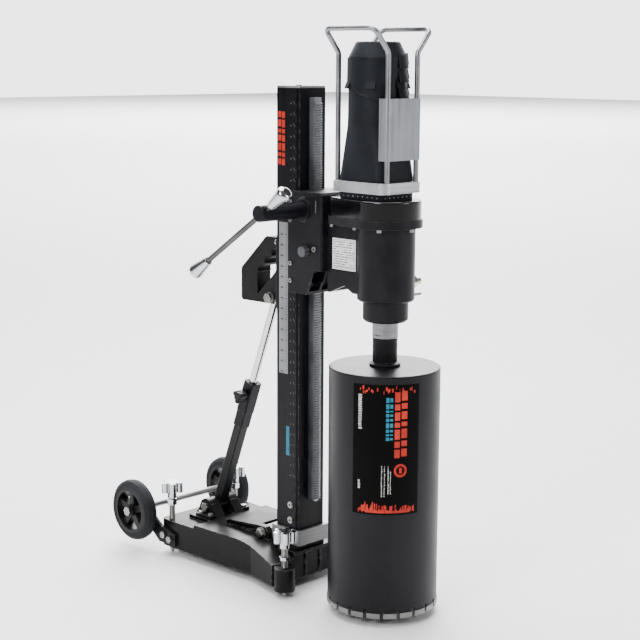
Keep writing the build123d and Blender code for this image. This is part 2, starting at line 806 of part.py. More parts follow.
# steel foot: a collar round the column, a spigot inside it and an arm back to the hinge
with BuildPart() as column_foot:
    collar_depth = column_depth + 2 * foot_wall
    with BuildSketch(Plane((0, column_y, foot_bottom))):
        RectangleRounded(column_width + 2 * foot_wall, collar_depth, 3)
    extrude(amount=foot_top - foot_bottom)
    with BuildSketch(Plane((0, column_y, column_bottom))):
        Rectangle(column_width + 0.04, column_depth + 0.04)
    extrude(amount=foot_top, mode=Mode.SUBTRACT)
    with BuildSketch(Plane((0, column_y, column_bottom))):
        inner_width = column_width - 2 * column_wall - 2 * spigot_gap
        inner_depth = column_depth - 2 * column_wall - 2 * spigot_gap
        Rectangle(inner_width, inner_depth)
        Rectangle(inner_width - 18, inner_depth - 18, mode=Mode.SUBTRACT)
    extrude(amount=spigot_top - column_bottom)
    with BuildSketch(x_plane(-barrel_half)):
        with Locations(((column_rear + hinge_y) / 2, hinge_z)):
            Rectangle(hinge_y - column_rear, 2 * barrel_radius - 3)
        with Locations((hinge_y, hinge_z)):
            Circle(barrel_radius)
    extrude(amount=2 * barrel_half)
    with BuildSketch(x_plane(-barrel_half - 1, hinge_y, hinge_z)):
        Circle(hinge_pin_radius + run_gap)
    extrude(amount=2 * barrel_half + 2, mode=Mode.SUBTRACT)
    with Locations((0, column_rear + foot_wall, foot_bottom - 10)):
        Box(200, 2 * foot_wall, 20, mode=Mode.SUBTRACT)
    for screw_z in foot_screw_heights:
        with Locations(Location((0, foot_screw_y, screw_z), (0, 90, 0))):
            Cylinder(foot_screw_radius + seat_gap, column_width, mode=Mode.SUBTRACT)
save(column_foot, "column_foot")

with BuildPart() as column_screws:
    for screw_z in rack_screw_heights:
        with Locations(Location((0, column_front, screw_z), (-90, 0, 0))):
            Cylinder(rack_screw_radius, rack_screw_depth - 1, align=hung)
            Cylinder(rack_screw_radius, column_wall, align=standing)
        with Locations(Location((0, column_front + column_wall, screw_z), (-90, 0, 0))):
            Cylinder(4.25, 4, align=standing)
    for screw_z in foot_screw_heights:
        for side in (-1, 1):
            with BuildSketch(x_plane(side * column_width / 2, foot_screw_y, screw_z)):
                Circle(foot_screw_radius)
            extrude(amount=-side * (column_wall + 8))
            with BuildSketch(x_plane(side * column_width / 2, foot_screw_y, screw_z)):
                Circle(6.5)
            extrude(amount=side * 2)
            with BuildSketch(x_plane(side * column_width / 2, foot_screw_y, screw_z)):
                Circle(5)
            extrude(amount=side * 3.5)
    with Locations((cap_screw_x, cap_screw_y, column_top + cap_thickness)):
        Cylinder(cap_screw_radius, cap_thickness + 8, align=hung)
        Cylinder(5.5, 3, align=standing)
    fillet(column_screws.edges().sort_by(Axis.Z)[-1], 2.4)
save(column_screws, "column_screws")

# carry handle behind the column: a plate with a finger opening and a fork for the strut's eye
with BuildPart() as carry_handle:
    with BuildSketch(x_plane(0)) as outline:
        with BuildLine():
            Polyline(
                (column_rear, handle_top),
                (column_rear + 46, handle_top),
                (strut_top_y + 82, handle_top - 67),
                (strut_top_y + 82, handle_bottom),
                (column_rear, handle_bottom + 2),
                close=True,
            )
        make_face()
        fillet(outline.vertices().group_by(Axis.X)[1:], 6)
        with BuildLine():
            Polyline(
                (handle_grip_y, handle_grip_z),
                (handle_grip_y, handle_bottom + 16),
                (column_rear + 30, handle_bottom + 54),
                (column_rear + 13, handle_bottom + 72),
                (column_rear + 13, handle_top - 22),
                close=True,
            )
        make_face(mode=Mode.SUBTRACT)
        # finger notches along the grip
        for notch in range(3):
            share = (notch + 0.5) / 3
            with Locations((
                column_rear + 13 + share * (handle_grip_y - column_rear - 13),
                handle_top - 22 + share * (handle_grip_z - handle_top + 22),
            )):
                Circle(9, mode=Mode.SUBTRACT)
    extrude(amount=handle_half, both=True)
    with BuildSketch(Plane.XZ.offset(-column_rear)):
        with Locations((0, (flange_screw_heights[0] + flange_screw_heights[-1]) / 2)):
            flange_length = flange_screw_heights[-1] - flange_screw_heights[0] + 24
            RectangleRounded(2 * handle_flange_half, flange_length, 5)
    extrude(amount=-handle_flange)
    with BuildSketch(x_plane(0, strut_top_y, strut_top_z)):
        Circle(eye_radius + 1.6)
        with Locations((0, -15)):
            Rectangle(2 * (eye_radius + 1.6) + 12, 18)
    extrude(amount=eye_half + side_gap, both=True, mode=Mode.SUBTRACT)
    with BuildSketch(x_plane(-handle_half - 1, strut_top_y, strut_top_z)):
        Circle(strut_pin_radius + seat_gap)
    extrude(amount=2 * handle_half + 2, mode=Mode.SUBTRACT)
    for screw_z in flange_screw_heights:
        for side in (-1, 1):
            screw_place = (side * flange_screw_x, column_rear + handle_flange, screw_z)
            with Locations(Location(screw_place, (90, 0, 0))):
                Cylinder(flange_screw_radius + seat_gap, 2 * handle_flange + 2, mode=Mode.SUBTRACT)
save(carry_handle, "carry_handle")

with BuildPart() as handle_bolts:
    for screw_z in flange_screw_heights:
        for side in (-1, 1):
            screw_place = (side * flange_screw_x, column_rear + handle_flange, screw_z)
            with Locations(Location(screw_place, (-90, 0, 0))):
                Cylinder(flange_screw_radius, handle_flange + column_wall + 3, align=hung)
                Cylinder(4.6, 5, align=standing)
    with BuildSketch(x_plane(-handle_half, strut_top_y, strut_top_z)):
        Circle(strut_pin_radius)
    extrude(amount=2 * handle_half)
    for side in (-1, 1):
        with BuildSketch(x_plane(side * handle_half, strut_top_y, strut_top_z)):
            Circle(10.5)
        extrude(amount=side * 2)
        with BuildSketch(x_plane(side * (handle_half + 2), strut_top_y, strut_top_z)):
            RegularPolygon(9.5, 6)
        extrude(amount=side * 7)
save(handle_bolts, "handle_bolts")

# ================================================================ STRUT
# Modelled on the strut's own plane, whose z runs from the lower pivot to the upper one.
strut_across = Plane(
    origin=strut_plane.origin,
    x_dir=strut_plane.y_dir,
    z_dir=strut_plane.x_dir,
)
with BuildPart() as strut_rod:
    with BuildSketch(strut_plane.offset(rod_bottom)):
        Circle(strut_rod_radius)
    extrude(amount=strut_length - rod_bottom - strut_pin_radius - 3)
    with BuildSketch(strut_across):
        with Locations((0, strut_length)):
            Circle(eye_radius)
    extrude(amount=eye_half, both=True)
    with BuildSketch(strut_across):
        with Locations((0, strut_length)):
            Circle(strut_pin_radius + run_gap)
    extrude(amount=eye_half + 1, both=True, mode=Mode.SUBTRACT)
save(strut_rod, "strut_rod")

with BuildPart() as strut_tube:
    with BuildSketch(strut_plane):
        RectangleRounded(tube_side, tube_side, 2)
    extrude(amount=tube_top)
    with BuildSketch(strut_across):
        Circle(lug_radius)
    extrude(amount=lug_half, both=True)
    with BuildSketch(strut_plane.offset(lug_radius + 3)):
        Rectangle(tube_side - 2 * tube_wall, tube_side - 2 * tube_wall)
    extrude(amount=tube_top, mode=Mode.SUBTRACT)
    with BuildSketch(strut_across):
        Circle(strut_pin_radius + run_gap)
    extrude(amount=lug_half + 1, both=True, mode=Mode.SUBTRACT)
    with BuildSketch(strut_across):
        with Locations((0, clamp_height)):
            Circle(clamp_screw_radius + seat_gap)
    extrude(amount=-tube_side, mode=Mode.SUBTRACT)
save(strut_tube, "strut_tube")

with BuildPart() as strut_collar:
    with BuildSketch(strut_plane.offset(collar_bottom)):
        RectangleRounded(collar_side - 2, collar_side - 2, 2)
    extrude(amount=collar_step - collar_bottom)
    with BuildSketch(strut_plane.offset(collar_step)):
        RectangleRounded(collar_side, collar_side, 3)
    extrude(amount=collar_top - collar_step)
    with BuildSketch(strut_plane.offset(collar_bottom)):
        Rectangle(tube_side + 2 * seat_gap, tube_side + 2 * seat_gap)
    extrude(amount=tube_top - collar_bottom + seat_gap, mode=Mode.SUBTRACT)
    with BuildSketch(strut_plane.offset(collar_bottom)):
        Circle(strut_rod_radius + run_gap)
    extrude(amount=strut_length, mode=Mode.SUBTRACT)
    with BuildSketch(strut_across):
        with Locations((0, clamp_height)):
            Circle(clamp_screw_radius + run_gap)
    extrude(amount=-collar_side, mode=Mode.SUBTRACT)
save(strut_collar, "strut_collar")

with BuildPart() as clamp_knob:
    with BuildSketch(strut_across.offset(-strut_rod_radius - side_gap)):
        with Locations((0, clamp_height)):
            Circle(clamp_screw_radius)
    extrude(amount=-collar_side / 2)
    with BuildSketch(strut_across.offset(-collar_side / 2 - side_gap)):
        with Locations((0, clamp_height)):
            Circle(8)
    extrude(amount=-5)
    with BuildSketch(strut_across.offset(-collar_side / 2 - 5)):
        with Locations((0, clamp_height)):
            Circle(9)
            with PolarLocations(9, 3, start_angle=20):
                Circle(5)
    extrude(amount=-17)
    chamfer(clamp_knob.faces().sort_by(Axis.X)[0].edges(), 2)
save(clamp_knob, "clamp_knob")

# ================================================================ CARRIAGE
with BuildPart() as carriage:
    with BuildSketch(x_plane(-carriage_half)) as block:
        with BuildLine():
            Polyline(
                (carriage_front, carriage_top),
                (carriage_rear, carriage_top),
                (carriage_rear, carriage_bottom),
                (carriage_front + 38, carriage_bottom),
                (carriage_front + 22, carriage_bottom + 46),
                (carriage_front, carriage_bottom + 46),
                close=True,
            )
        make_face()
        chamfer(block.vertices().group_by(Axis.Y)[-1], 4)
    extrude(amount=2 * carriage_half)
    chamfer(carriage.edges().filter_by(Axis.Z).group_by(Axis.Y)[0], 3)
    # three ribbed pockets in the slanting lower front
    lean = math.degrees(math.atan2(16, 46))
    slope_middle = Location(
        (0, carriage_front + 30, carriage_bottom + 23),
        (lean, 0, 0),
    )
    with Locations(slope_middle):
        with GridLocations((2 * carriage_half - 5) / 3, 1, 3, 1):
            Box((2 * carriage_half - 20) / 3, 20, 38, mode=Mode.SUBTRACT)
    # boss of the crank
    with BuildSketch(x_plane(-carriage_half, pinion_y, crank_z)):
        Circle(crank_boss_radius)
    extrude(amount=-crank_boss_proud)
    # pocket round the column, channel of the rack and chamber of the pinion
    with BuildSketch(Plane.XY.offset(carriage_bottom - 1)):
        with Locations((0, column_front + 39.2)):
            Rectangle(2 * pocket_half, 80)
        with Locations((0, rack_tip_y - 2 + 20)):
            Rectangle(2 * rack_channel_half, 40)
    extrude(amount=carriage_top - carriage_bottom + 2, mode=Mode.SUBTRACT)
    with BuildSketch(x_plane(-rack_channel_half, pinion_y, crank_z)):
        Circle(pinion_pitch_radius + 2.5)
    extrude(amount=2 * rack_channel_half, mode=Mode.SUBTRACT)
    with BuildSketch(x_plane(-carriage_half - 20, pinion_y, crank_z)):
        Circle(crank_shaft_radius + run_gap)
    extrude(amount=carriage_half + 20 + crank_shaft_end + 2, mode=Mode.SUBTRACT)
    # lightening pockets beside the rack channel
    for side in (-1, 1):
        pocket_x = side * (rack_channel_half + 3 + pocket_half) / 2
        with Locations((pocket_x, carriage_front + 12 + 40, carriage_bottom + 72)):
            Box(pocket_half - rack_channel_half - 3, 80, 105, mode=Mode.SUBTRACT)
        for bolt_z in web_bolt_heights:
            with Locations(Location((side * web_bolt_x, carriage_front, bolt_z), (90, 0, 0))):
                Cylinder(web_bolt_radius + seat_gap, 40, mode=Mode.SUBTRACT)
        for screw_z in pad_screw_heights:
            with Locations(Location((side * carriage_half, pad_y, screw_z), (0, 90, 0))):
                Cylinder(pad_screw_radius + seat_gap, 40, mode=Mode.SUBTRACT)
    with Locations(Location((-carriage_half, lock_y, lock_z), (0, 90, 0))):
        Cylinder(lock_shaft_radius + run_gap, 2 * lock_depth, mode=Mode.SUBTRACT)
    with Locations(Location((-carriage_half, stop_screw_y, lock_z + 5), (0, 90, 0))):
        Cylinder(pad_screw_radius + seat_gap, 16, mode=Mode.SUBTRACT)
save(carriage, "carriage")

# plastic pads with V noses that run in the column's grooves
with BuildPart() as slide_pads:
    nose = groove_depth - 0.1
    for side in (-1, 1):
        for pad_bottom in pad_bottoms:
            with BuildSketch(Plane.XY.offset(pad_bottom)):
                with BuildLine():
                    Polyline(
                        (side * pocket_half, column_front + 0.5),
                        (side * (column_width / 2 + side_gap), column_front + 0.5),
                        (side * (column_width / 2 + side_gap), column_front + groove_inset - nose),
                        (side * (column_width / 2 + side_gap - nose), column_front + groove_inset),
                        (side * (column_width / 2 + side_gap), column_front + groove_inset + nose),
                        (side * (column_width / 2 + side_gap), carriage_rear),
                        (side * pocket_half, carriage_rear),
                        close=True,
                    )
                make_face()
            extrude(amount=pad_length)
        for screw_z in pad_screw_heights:
            with Locations(Location((side * pocket_half, pad_y, screw_z), (0, 90, 0))):
                Cylinder(pad_screw_radius + seat_gap, 2 * pad_screw_bite, mode=Mode.SUBTRACT)
save(slide_pads, "slide_pads")

with BuildPart() as carriage_bolts:
    for side in (-1, 1):
        for screw_z in pad_screw_heights:
            with BuildSketch(x_plane(side * (pocket_half - pad_screw_bite), pad_y, screw_z)):
                Circle(pad_screw_radius)
            extrude(amount=side * (carriage_half - pocket_half + pad_screw_bite))
            with BuildSketch(x_plane(side * carriage_half, pad_y, screw_z)):
                Circle(4)
            extrude(amount=side * 2.5)
        for bolt_z in web_bolt_heights:
            with Locations(Location((side * web_bolt_x, carriage_front + 12, bolt_z), (-90, 0, 0))):
                Cylinder(web_bolt_radius, 22, align=hung)
                Cylinder(6.5, 6, align=standing)
    for x, y in case_screw_places:
        with Locations((x, y, flange_bottom)):
            Cylinder(case_screw_radius, flange_top - flange_bottom + 12, align=standing)
            Cylinder(4.2, 5, align=hung)
    with BuildSketch(x_plane(-carriage_half, stop_screw_y, lock_z + 5)):
        Circle(pad_screw_radius)
    extrude(amount=7)
    with BuildSketch(x_plane(-carriage_half, stop_screw_y, lock_z + 5)):
        Circle(4.6)
    extrude(amount=-3)
save(carriage_bolts, "carriage_bolts")

with BuildPart() as feed_lock_knob:
    with BuildSketch(x_plane(-carriage_half + lock_depth - 1, lock_y, lock_z)):
        Circle(lock_shaft_radius)
    extrude(amount=-lock_depth)
    with BuildSketch(x_plane(-carriage_half - side_gap, lock_y, lock_z)):
        Circle(10)
        with PolarLocations(10, 8):
            Circle(1.4, mode=Mode.SUBTRACT)
    extrude(amount=-12)
    fillet(feed_lock_knob.faces().sort_by(Axis.X)[0].edges(), 1.2)
save(feed_lock_knob, "feed_lock_knob")

# ---------------------------------------------------------------- crank
with BuildPart() as pinion_shaft:
    with BuildSketch(x_plane(crank_shaft_end, pinion_y, crank_z)):
        Circle(crank_shaft_radius)
    extrude(amount=-crank_shaft_end - carriage_half - crank_boss_proud - 1 - hub_overlap)
    with BuildSketch(x_plane(-rack_width / 2, pinion_y, crank_z)):
        with BuildLine():
            Polyline(gear_outline(pinion_teeth, rack_module, 180 / pinion_teeth), close=True)
        make_face()
    extrude(amount=rack_width)
save(pinion_shaft, "pinion_shaft")

hub_start = carriage_half + crank_boss_proud + 1
with BuildPart() as crank_hub:
    with BuildSketch(x_plane(-hub_start, pinion_y, crank_z)):
        Circle(crank_hub_radius)
    extrude(amount=hub_start - crank_hub_end)
    fillet(crank_hub.faces().sort_by(Axis.X)[0].edges(), 3)
    with BuildSketch(x_plane(-hub_start, pinion_y, crank_z)):
        Circle(crank_shaft_radius + seat_gap)
    extrude(amount=-hub_overlap - 0.5, mode=Mode.SUBTRACT)
    with BuildSketch(bar_plane.offset(-40)):
        Circle(bar_radius + run_gap)
    extrude(amount=80, mode=Mode.SUBTRACT)
save(crank_hub, "crank_hub")

with BuildPart() as crank_bar:
    with BuildSketch(bar_plane.offset(-bar_near - 30)):
        Circle(bar_radius)
    extrude(amount=bar_near + bar_far + 60)
save(crank_bar, "crank_bar")

with BuildPart() as crank_knobs:
    for end in (-1, 1):
        start = bar_far if end == 1 else -bar_near
        knob_plane = Plane(
            origin=bar_plane.origin + bar_plane.z_dir * start,
            x_dir=(1, 0, 0),
            z_dir=bar_plane.y_dir * -end,
        )
        with BuildSketch(knob_plane):
            with BuildLine():
                Line((0, 0), (7.5, 0))
                Line((7.5, 0), (9, 6))
                Line((9, 6), (14.5, knob_length - 11))
                ThreePointArc((14.5, knob_length - 11), (12.4, knob_length - 3), (7, knob_length))
                Line((7, knob_length), (0, knob_length))
                Line((0, knob_length), (0, 0))
            make_face()
        revolve(axis=Axis(bar_plane.origin, bar_plane.z_dir))
    with BuildSketch(bar_plane.offset(-bar_near - 30)):
        Circle(bar_radius + seat_gap)
    extrude(amount=bar_near + bar_far + 60, mode=Mode.SUBTRACT)
save(crank_knobs, "crank_knobs")

# ================================================================ GEARBOX
def case_plan(grow):
    """The gear case's plan, a round front and two smaller rear corners, grown by a wall."""
    with BuildSketch() as plan:
        Circle(case_radius + grow)
        with Locations((case_rear_x, case_rear_y), (-case_rear_x, case_rear_y)):
            Circle(case_rear_radius + grow)
        make_hull()
    return plan.sketch


with BuildPart() as gear_housing:
    with BuildSketch(turned_plane(0, 0)):
        with BuildLine():
            Polyline(
                (0, nose_bottom),
                (nose_radius - 4, nose_bottom),
                (nose_radius, nose_bottom + 4),
                (nose_radius, housing_bottom),
                (housing_radius - 3, housing_bottom),
                (housing_radius, housing_bottom + 3),
                (housing_radius, flange_bottom),
                (0, flange_bottom),
                close=True,
            )
        make_face()
    revolve(axis=upright(0, 0))
    with BuildSketch(x_plane(-web_half)):
        with BuildLine():
            Polyline(
                (30, flange_bottom),
                (30, housing_bottom + 9),
                (50, housing_bottom + 9),
                (71, housing_bottom + 21),
                (carriage_front - 5, housing_bottom + 5),
                (carriage_front, housing_bottom + 5),
                (carriage_front, flange_bottom),
                close=True,
            )
        make_face()
    extrude(amount=2 * web_half)
    with Locations((0, 0, flange_bottom)):
        add(extrude(case_plan(flange_proud), amount=flange_top - flange_bottom, mode=Mode.PRIVATE))
    # the web is cast hollow from below
    with BuildSketch(Plane.XY.offset(housing_bottom)):
        with Locations((0, (housing_radius + 9 + carriage_front - web_bolt_bite - 1) / 2)):
            Rectangle(2 * web_half - 14, carriage_front - web_bolt_bite - 1 - housing_radius - 9)
    extrude(amount=flange_bottom - 14 - housing_bottom, mode=Mode.SUBTRACT)
    # bearing seats, water chamber and the space above them
    with BuildSketch(turned_plane(0, 0)):
        with BuildLine():
            Polyline(
                (0, nose_bottom - 1),
                (spindle_radius + 1, nose_bottom - 1),
                (spindle_radius + 1, lower_bearing_z),
                (bearing_radius + seat_gap, lower_bearing_z),
                (bearing_radius + seat_gap, upper_seal_z + seal_height),
                (housing_radius - 7, upper_seal_z + seal_height + 10),
                (housing_radius - 7, flange_bottom - 20),
                (bearing_radius + seat_gap, flange_bottom - 14),
                (bearing_radius + seat_gap, flange_top + 1),
                (0, flange_top + 1),
                close=True,
            )
        make_face()
    revolve(axis=upright(0, 0), mode=Mode.SUBTRACT)
    with Locations((0, idler_y, flange_top)):
        Cylinder(idler_bearing_radius + seat_gap, 2 * idler_bearing_height, mode=Mode.SUBTRACT)
    with Locations(Location((housing_radius, 0, water_z), (0, 90, 0))):
        Cylinder(water_thread_radius + seat_gap, 2 * (housing_radius - bearing_radius), mode=Mode.SUBTRACT)
    for side in (-1, 1):
        for bolt_z in web_bolt_heights:
            with Locations(Location((side * web_bolt_x, carriage_front, bolt_z), (90, 0, 0))):
                Cylinder(web_bolt_radius + seat_gap, 2 * web_bolt_bite, mode=Mode.SUBTRACT)
    for x, y in case_screw_places:
        with Locations((x, y, flange_bottom)):
            Cylinder(case_screw_radius + seat_gap, 60, mode=Mode.SUBTRACT)
            Cylinder(5, 12, align=hung, mode=Mode.SUBTRACT)
save(gear_housing, "gear_housing")

with BuildPart() as gear_cover:
    with Locations((0, 0, flange_top)):
        add(extrude(case_plan(0), amount=case_top - flange_top, mode=Mode.PRIVATE))
    fillet(gear_cover.faces().sort_by(Axis.Z)[-1].edges(), 3)
    with Locations((0, 0, flange_top)):
        case_depth = case_top - case_lid - flange_top
        case_hollow = extrude(case_plan(-case_wall), amount=case_depth, mode=Mode.PRIVATE)
        add(case_hollow, mode=Mode.SUBTRACT)
    with Locations((0, motor_y, case_top)):
        Cylinder(motor_pinion_hole, 20, mode=Mode.SUBTRACT)
    with Locations((0, idler_y, case_top)):
        Cylinder(idler_bearing_radius + seat_gap, 20, mode=Mode.SUBTRACT)
    for x, y in case_screw_places:
        with Locations((x, y, flange_top)):
            Cylinder(case_screw_radius + seat_gap, 26, mode=Mode.SUBTRACT)
save(gear_cover, "gear_cover")

# rings pressed into the castings: two each for the spindle, the idler and the armature
ring_places = (
    (0, lower_bearing_z, spindle_radius, bearing_radius, 18),
    (0, flange_bottom - 6, spindle_radius, bearing_radius, 18),
    (
        idler_y,
        flange_top - idler_bearing_height,
        idler_shaft_radius,
        idler_bearing_radius,
        idler_bearing_height - 2,
    ),
    (idler_y, case_top - case_lid, idler_shaft_radius, idler_bearing_radius, case_lid),
    (motor_y, case_top, armature_shaft_radius, armature_bearing_radius, 11),
    (motor_y, motor_bearing_z, armature_shaft_radius, armature_bearing_radius, 10),
)
with BuildPart() as bearings:
    for ring_y, ring_z, inner, outer, tall in ring_places:
        with BuildSketch(Plane((0, ring_y, ring_z))):
            Circle(outer)
            Circle(inner + run_gap, mode=Mode.SUBTRACT)
        extrude(amount=tall)
save(bearings, "bearings")

with BuildPart() as water_seals:
    for seal_z in (lower_seal_z, upper_seal_z):
        with BuildSketch(Plane((0, 0, seal_z))):
            Circle(bearing_radius)
            Circle(spindle_radius + run_gap, mode=Mode.SUBTRACT)
        extrude(amount=seal_height)
save(water_seals, "water_seals")

with BuildPart() as water_fitting:
    with BuildSketch(x_plane(housing_radius - 10, 0, water_z)):
        Circle(water_thread_radius)
    extrude(amount=10)
    with BuildSketch(x_plane(housing_radius, 0, water_z)):
        RegularPolygon(12, 6)
    extrude(amount=water_hex_end - housing_radius)
    with BuildSketch(x_plane(water_hex_end, 0, water_z)):
        Circle(water_nipple_radius)
    extrude(amount=water_nipple_end - water_hex_end)
    chamfer(water_fitting.faces().sort_by(Axis.X)[-1].edges(), 1)
    with BuildSketch(x_plane(housing_radius - 11, 0, water_z)):
        Circle(4)
    extrude(amount=60, mode=Mode.SUBTRACT)
    with Locations((valve_x, 0, water_z - 6)):
        Cylinder(valve_stem_radius + run_gap, 16, mode=Mode.SUBTRACT)
save(water_fitting, "water_fitting")

with BuildPart() as valve_lever:
    with BuildSketch(Plane((valve_x, 0, water_z - 20))):
        Circle(valve_stem_radius)
    extrude(amount=16)
    with BuildSketch(Plane((valve_x, 0, water_z - 26))):
        Circle(7)
        with Locations((13, 0)):
            SlotOverall(28, 9)
    extrude(amount=5)
    with BuildSketch(Plane((valve_x, 0, water_z - 21))):
        Circle(5)
    extrude(amount=3)
save(valve_lever, "valve_lever")

# ================================================================ SPINDLE AND GEARS
with BuildPart() as spindle:
    with BuildSketch(turned_plane(0, 0)):
        with BuildLine():
            Polyline(
                (0, spindle_thread_bottom),
                (spindle_thread_radius - 1, spindle_thread_bottom),
                (spindle_thread_radius, spindle_thread_bottom + 1),
                (spindle_thread_radius, bit_hub_top),
                (spindle_nose_radius - 1, bit_hub_top),
                (spindle_nose_radius, bit_hub_top + 1),
                (spindle_nose_radius, spindle_nose_top - 1),
                (spindle_nose_radius - 1, spindle_nose_top),
                (spindle_radius, spindle_nose_top),
                (spindle_radius, spindle_top),
                (0, spindle_top),
                close=True,
            )
        make_face()
    revolve(axis=upright(0, 0))
    for side in (-1, 1):
        with Locations((side * (spindle_nose_radius + 7), 0, bit_hub_top + 14)):
            Box(20, 60, 16, mode=Mode.SUBTRACT)
    with BuildSketch(Plane.XY.offset(spindle_thread_bottom - 1)):
        Circle(spindle_bore)
    extrude(amount=water_z - spindle_thread_bottom + 4, mode=Mode.SUBTRACT)
    with Locations(Location((0, 0, water_z), (0, 90, 0))):
        Cylinder(4, 2 * spindle_radius + 2, mode=Mode.SUBTRACT)
save(spindle, "spindle")

with BuildPart() as spindle_gear:
    with BuildSketch(Plane.XY.offset(stage_two_bottom)):
        with BuildLine():
            Polyline(gear_outline(spindle_gear_teeth, stage_two_module, 90), close=True)
        make_face()
        Circle(spindle_radius + seat_gap, mode=Mode.SUBTRACT)
        with PolarLocations(32, 6):
            Circle(6, mode=Mode.SUBTRACT)
    extrude(amount=stage_two_top - stage_two_bottom)
save(spindle_gear, "spindle_gear")

with BuildPart() as idler_gear:
    with BuildSketch(Plane((0, idler_y, stage_two_bottom))):
        with BuildLine():
            Polyline(
                gear_outline(idler_pinion_teeth, stage_two_module, -90 + 180 / idler_pinion_teeth),
                close=True,
            )
        make_face()
    extrude(amount=stage_two_top - stage_two_bottom)
    with BuildSketch(Plane((0, idler_y, stage_one_bottom))):
        with BuildLine():
            Polyline(gear_outline(idler_gear_teeth, stage_one_module, -90), close=True)
        make_face()
    extrude(amount=stage_one_top - stage_one_bottom)
    with BuildSketch(Plane((0, idler_y, flange_top - idler_bearing_height + 1))):
        Circle(idler_shaft_radius)
    extrude(amount=case_top - flange_top + idler_bearing_height - 1.5)
    with BuildSketch(Plane((0, idler_y, flange_top + 0.5))):
        Circle(idler_shaft_radius + 2.5)
    extrude(amount=stage_one_bottom - flange_top - 0.5)
save(idler_gear, "idler_gear")

# ================================================================ CORE BIT
gap_degrees = math.degrees((2 * math.pi * bit_radius / segment_count - segment_length) / bit_radius)
gap_width = math.radians(gap_degrees) * bit_radius
with BuildPart() as bit_hub:
    with BuildSketch(turned_plane(0, 0)):
        with BuildLine():
            Polyline(
                (0, bit_top),
                (weld_ring_radius, bit_top),
                (weld_ring_radius, bit_top + weld_ring_height - 3),
                (bit_hub_radius, bit_top + weld_ring_height),
                (bit_hub_radius, bit_hub_top - 1),
                (bit_hub_radius - 1, bit_hub_top),
                (0, bit_hub_top),
                close=True,
            )
        make_face()
    revolve(axis=upright(0, 0))
    with BuildSketch(Plane.XY.offset(bit_hub_top)):
        Circle(spindle_thread_radius + seat_gap)
    extrude(amount=spindle_thread_bottom - bit_hub_top - 2, mode=Mode.SUBTRACT)
    with BuildSketch(Plane.XY.offset(bit_top - 1)):
        Circle(spindle_bore)
    extrude(amount=60, mode=Mode.SUBTRACT)
save(bit_hub, "bit_hub")

with BuildPart() as bit_tube:
    with BuildSketch(Plane.XY.offset(bit_bottom)):
        Circle(bit_radius)
    extrude(amount=bit_top - bit_bottom)
    fillet(bit_tube.faces().sort_by(Axis.Z)[-1].edges(), 2.5)
    with BuildSketch(Plane.XY.offset(bit_bottom)):
        Circle(bit_radius - bit_wall)
    extrude(amount=bit_top - bit_end_plate - bit_bottom, mode=Mode.SUBTRACT)
    with BuildSketch(Plane.XY.offset(bit_bottom)):
        with PolarLocations(bit_radius, segment_count):
            Rectangle(30, gap_width)
    extrude(amount=segment_slot, mode=Mode.SUBTRACT)
    with Locations((0, 0, bit_top)):
        Cylinder(spindle_bore, 3 * bit_end_plate, mode=Mode.SUBTRACT)
save(bit_tube, "bit_tube")

with BuildPart() as bit_segments:
    with BuildSketch(Plane.XY.offset(bit_bottom)):
        Circle(bit_radius + segment_proud)
        Circle(bit_radius - bit_wall - segment_proud, mode=Mode.SUBTRACT)
        with PolarLocations(bit_radius, segment_count):
            Rectangle(30, gap_width, mode=Mode.SUBTRACT)
    extrude(amount=-segment_height)
save(bit_segments, "bit_segments")

# ================================================================ MOTOR
with BuildPart() as motor_housing:
    with BuildSketch(Plane((0, motor_y, case_top))):
        RectangleRounded(2 * motor_foot_x, 2 * motor_foot_y, motor_foot_corner)
    extrude(amount=motor_foot_top - case_top)
    with BuildSketch(Plane((0, motor_y, motor_foot_top))):
        RectangleRounded(2 * motor_foot_x, 2 * motor_foot_y, motor_foot_corner)
    with BuildSketch(Plane((0, motor_y, motor_waist_z))):
        Circle(motor_radius)
    loft()
    with BuildSketch(turned_plane(0, motor_y)):
        with BuildLine():
            Polyline(
                (0, motor_waist_z),
                (motor_radius, motor_waist_z),
                (motor_radius - 1, motor_seam),
                (0, motor_seam),
                close=True,
            )
        make_face()
    revolve(axis=upright(0, motor_y))
    # bosses of the cable gland and the switch
    with BuildSketch(x_plane(motor_radius - 12, motor_y, gland_z)):
        Circle(14)
    extrude(amount=gland_face - motor_radius + 12)
    with BuildSketch(x_plane(motor_radius - 6, motor_y, switch_z)):
        RectangleRounded(2 * switch_half_y + 8, 2 * switch_half_z + 8, 3)
    extrude(amount=switch_face - motor_radius + 6)
    with BuildSketch(turned_plane(0, motor_y)):
        with BuildLine():
            Polyline(
                (0, case_top + 11),
                (stator_inner + 3, case_top + 11),
                (stator_inner + 5, case_top + 24),
                (motor_radius - 6, motor_foot_top + 35),
                (motor_radius - motor_wall, stator_bottom),
                (motor_radius - motor_wall, motor_seam + 1),
                (0, motor_seam + 1),
                close=True,
            )
        make_face()
    revolve(axis=upright(0, motor_y), mode=Mode.SUBTRACT)
    with Locations((0, motor_y, case_top)):
        Cylinder(armature_bearing_radius + seat_gap, 40, mode=Mode.SUBTRACT)
    with Locations((motor_radius + 10, motor_y, switch_z)):
        Box(2 * (motor_radius + 10 - switch_floor), 2 * switch_half_y, 2 * switch_half_z, mode=Mode.SUBTRACT)
    with Locations(Location((switch_pivot_x, motor_y, switch_z), (90, 0, 0))):
        Cylinder(switch_pin_radius + run_gap, 2 * switch_half_y + 5, mode=Mode.SUBTRACT)
    with Locations(Location((gland_face, motor_y, gland_z), (0, 90, 0))):
        Cylinder(gland_radius + seat_gap, 40, mode=Mode.SUBTRACT)
save(motor_housing, "motor_housing")

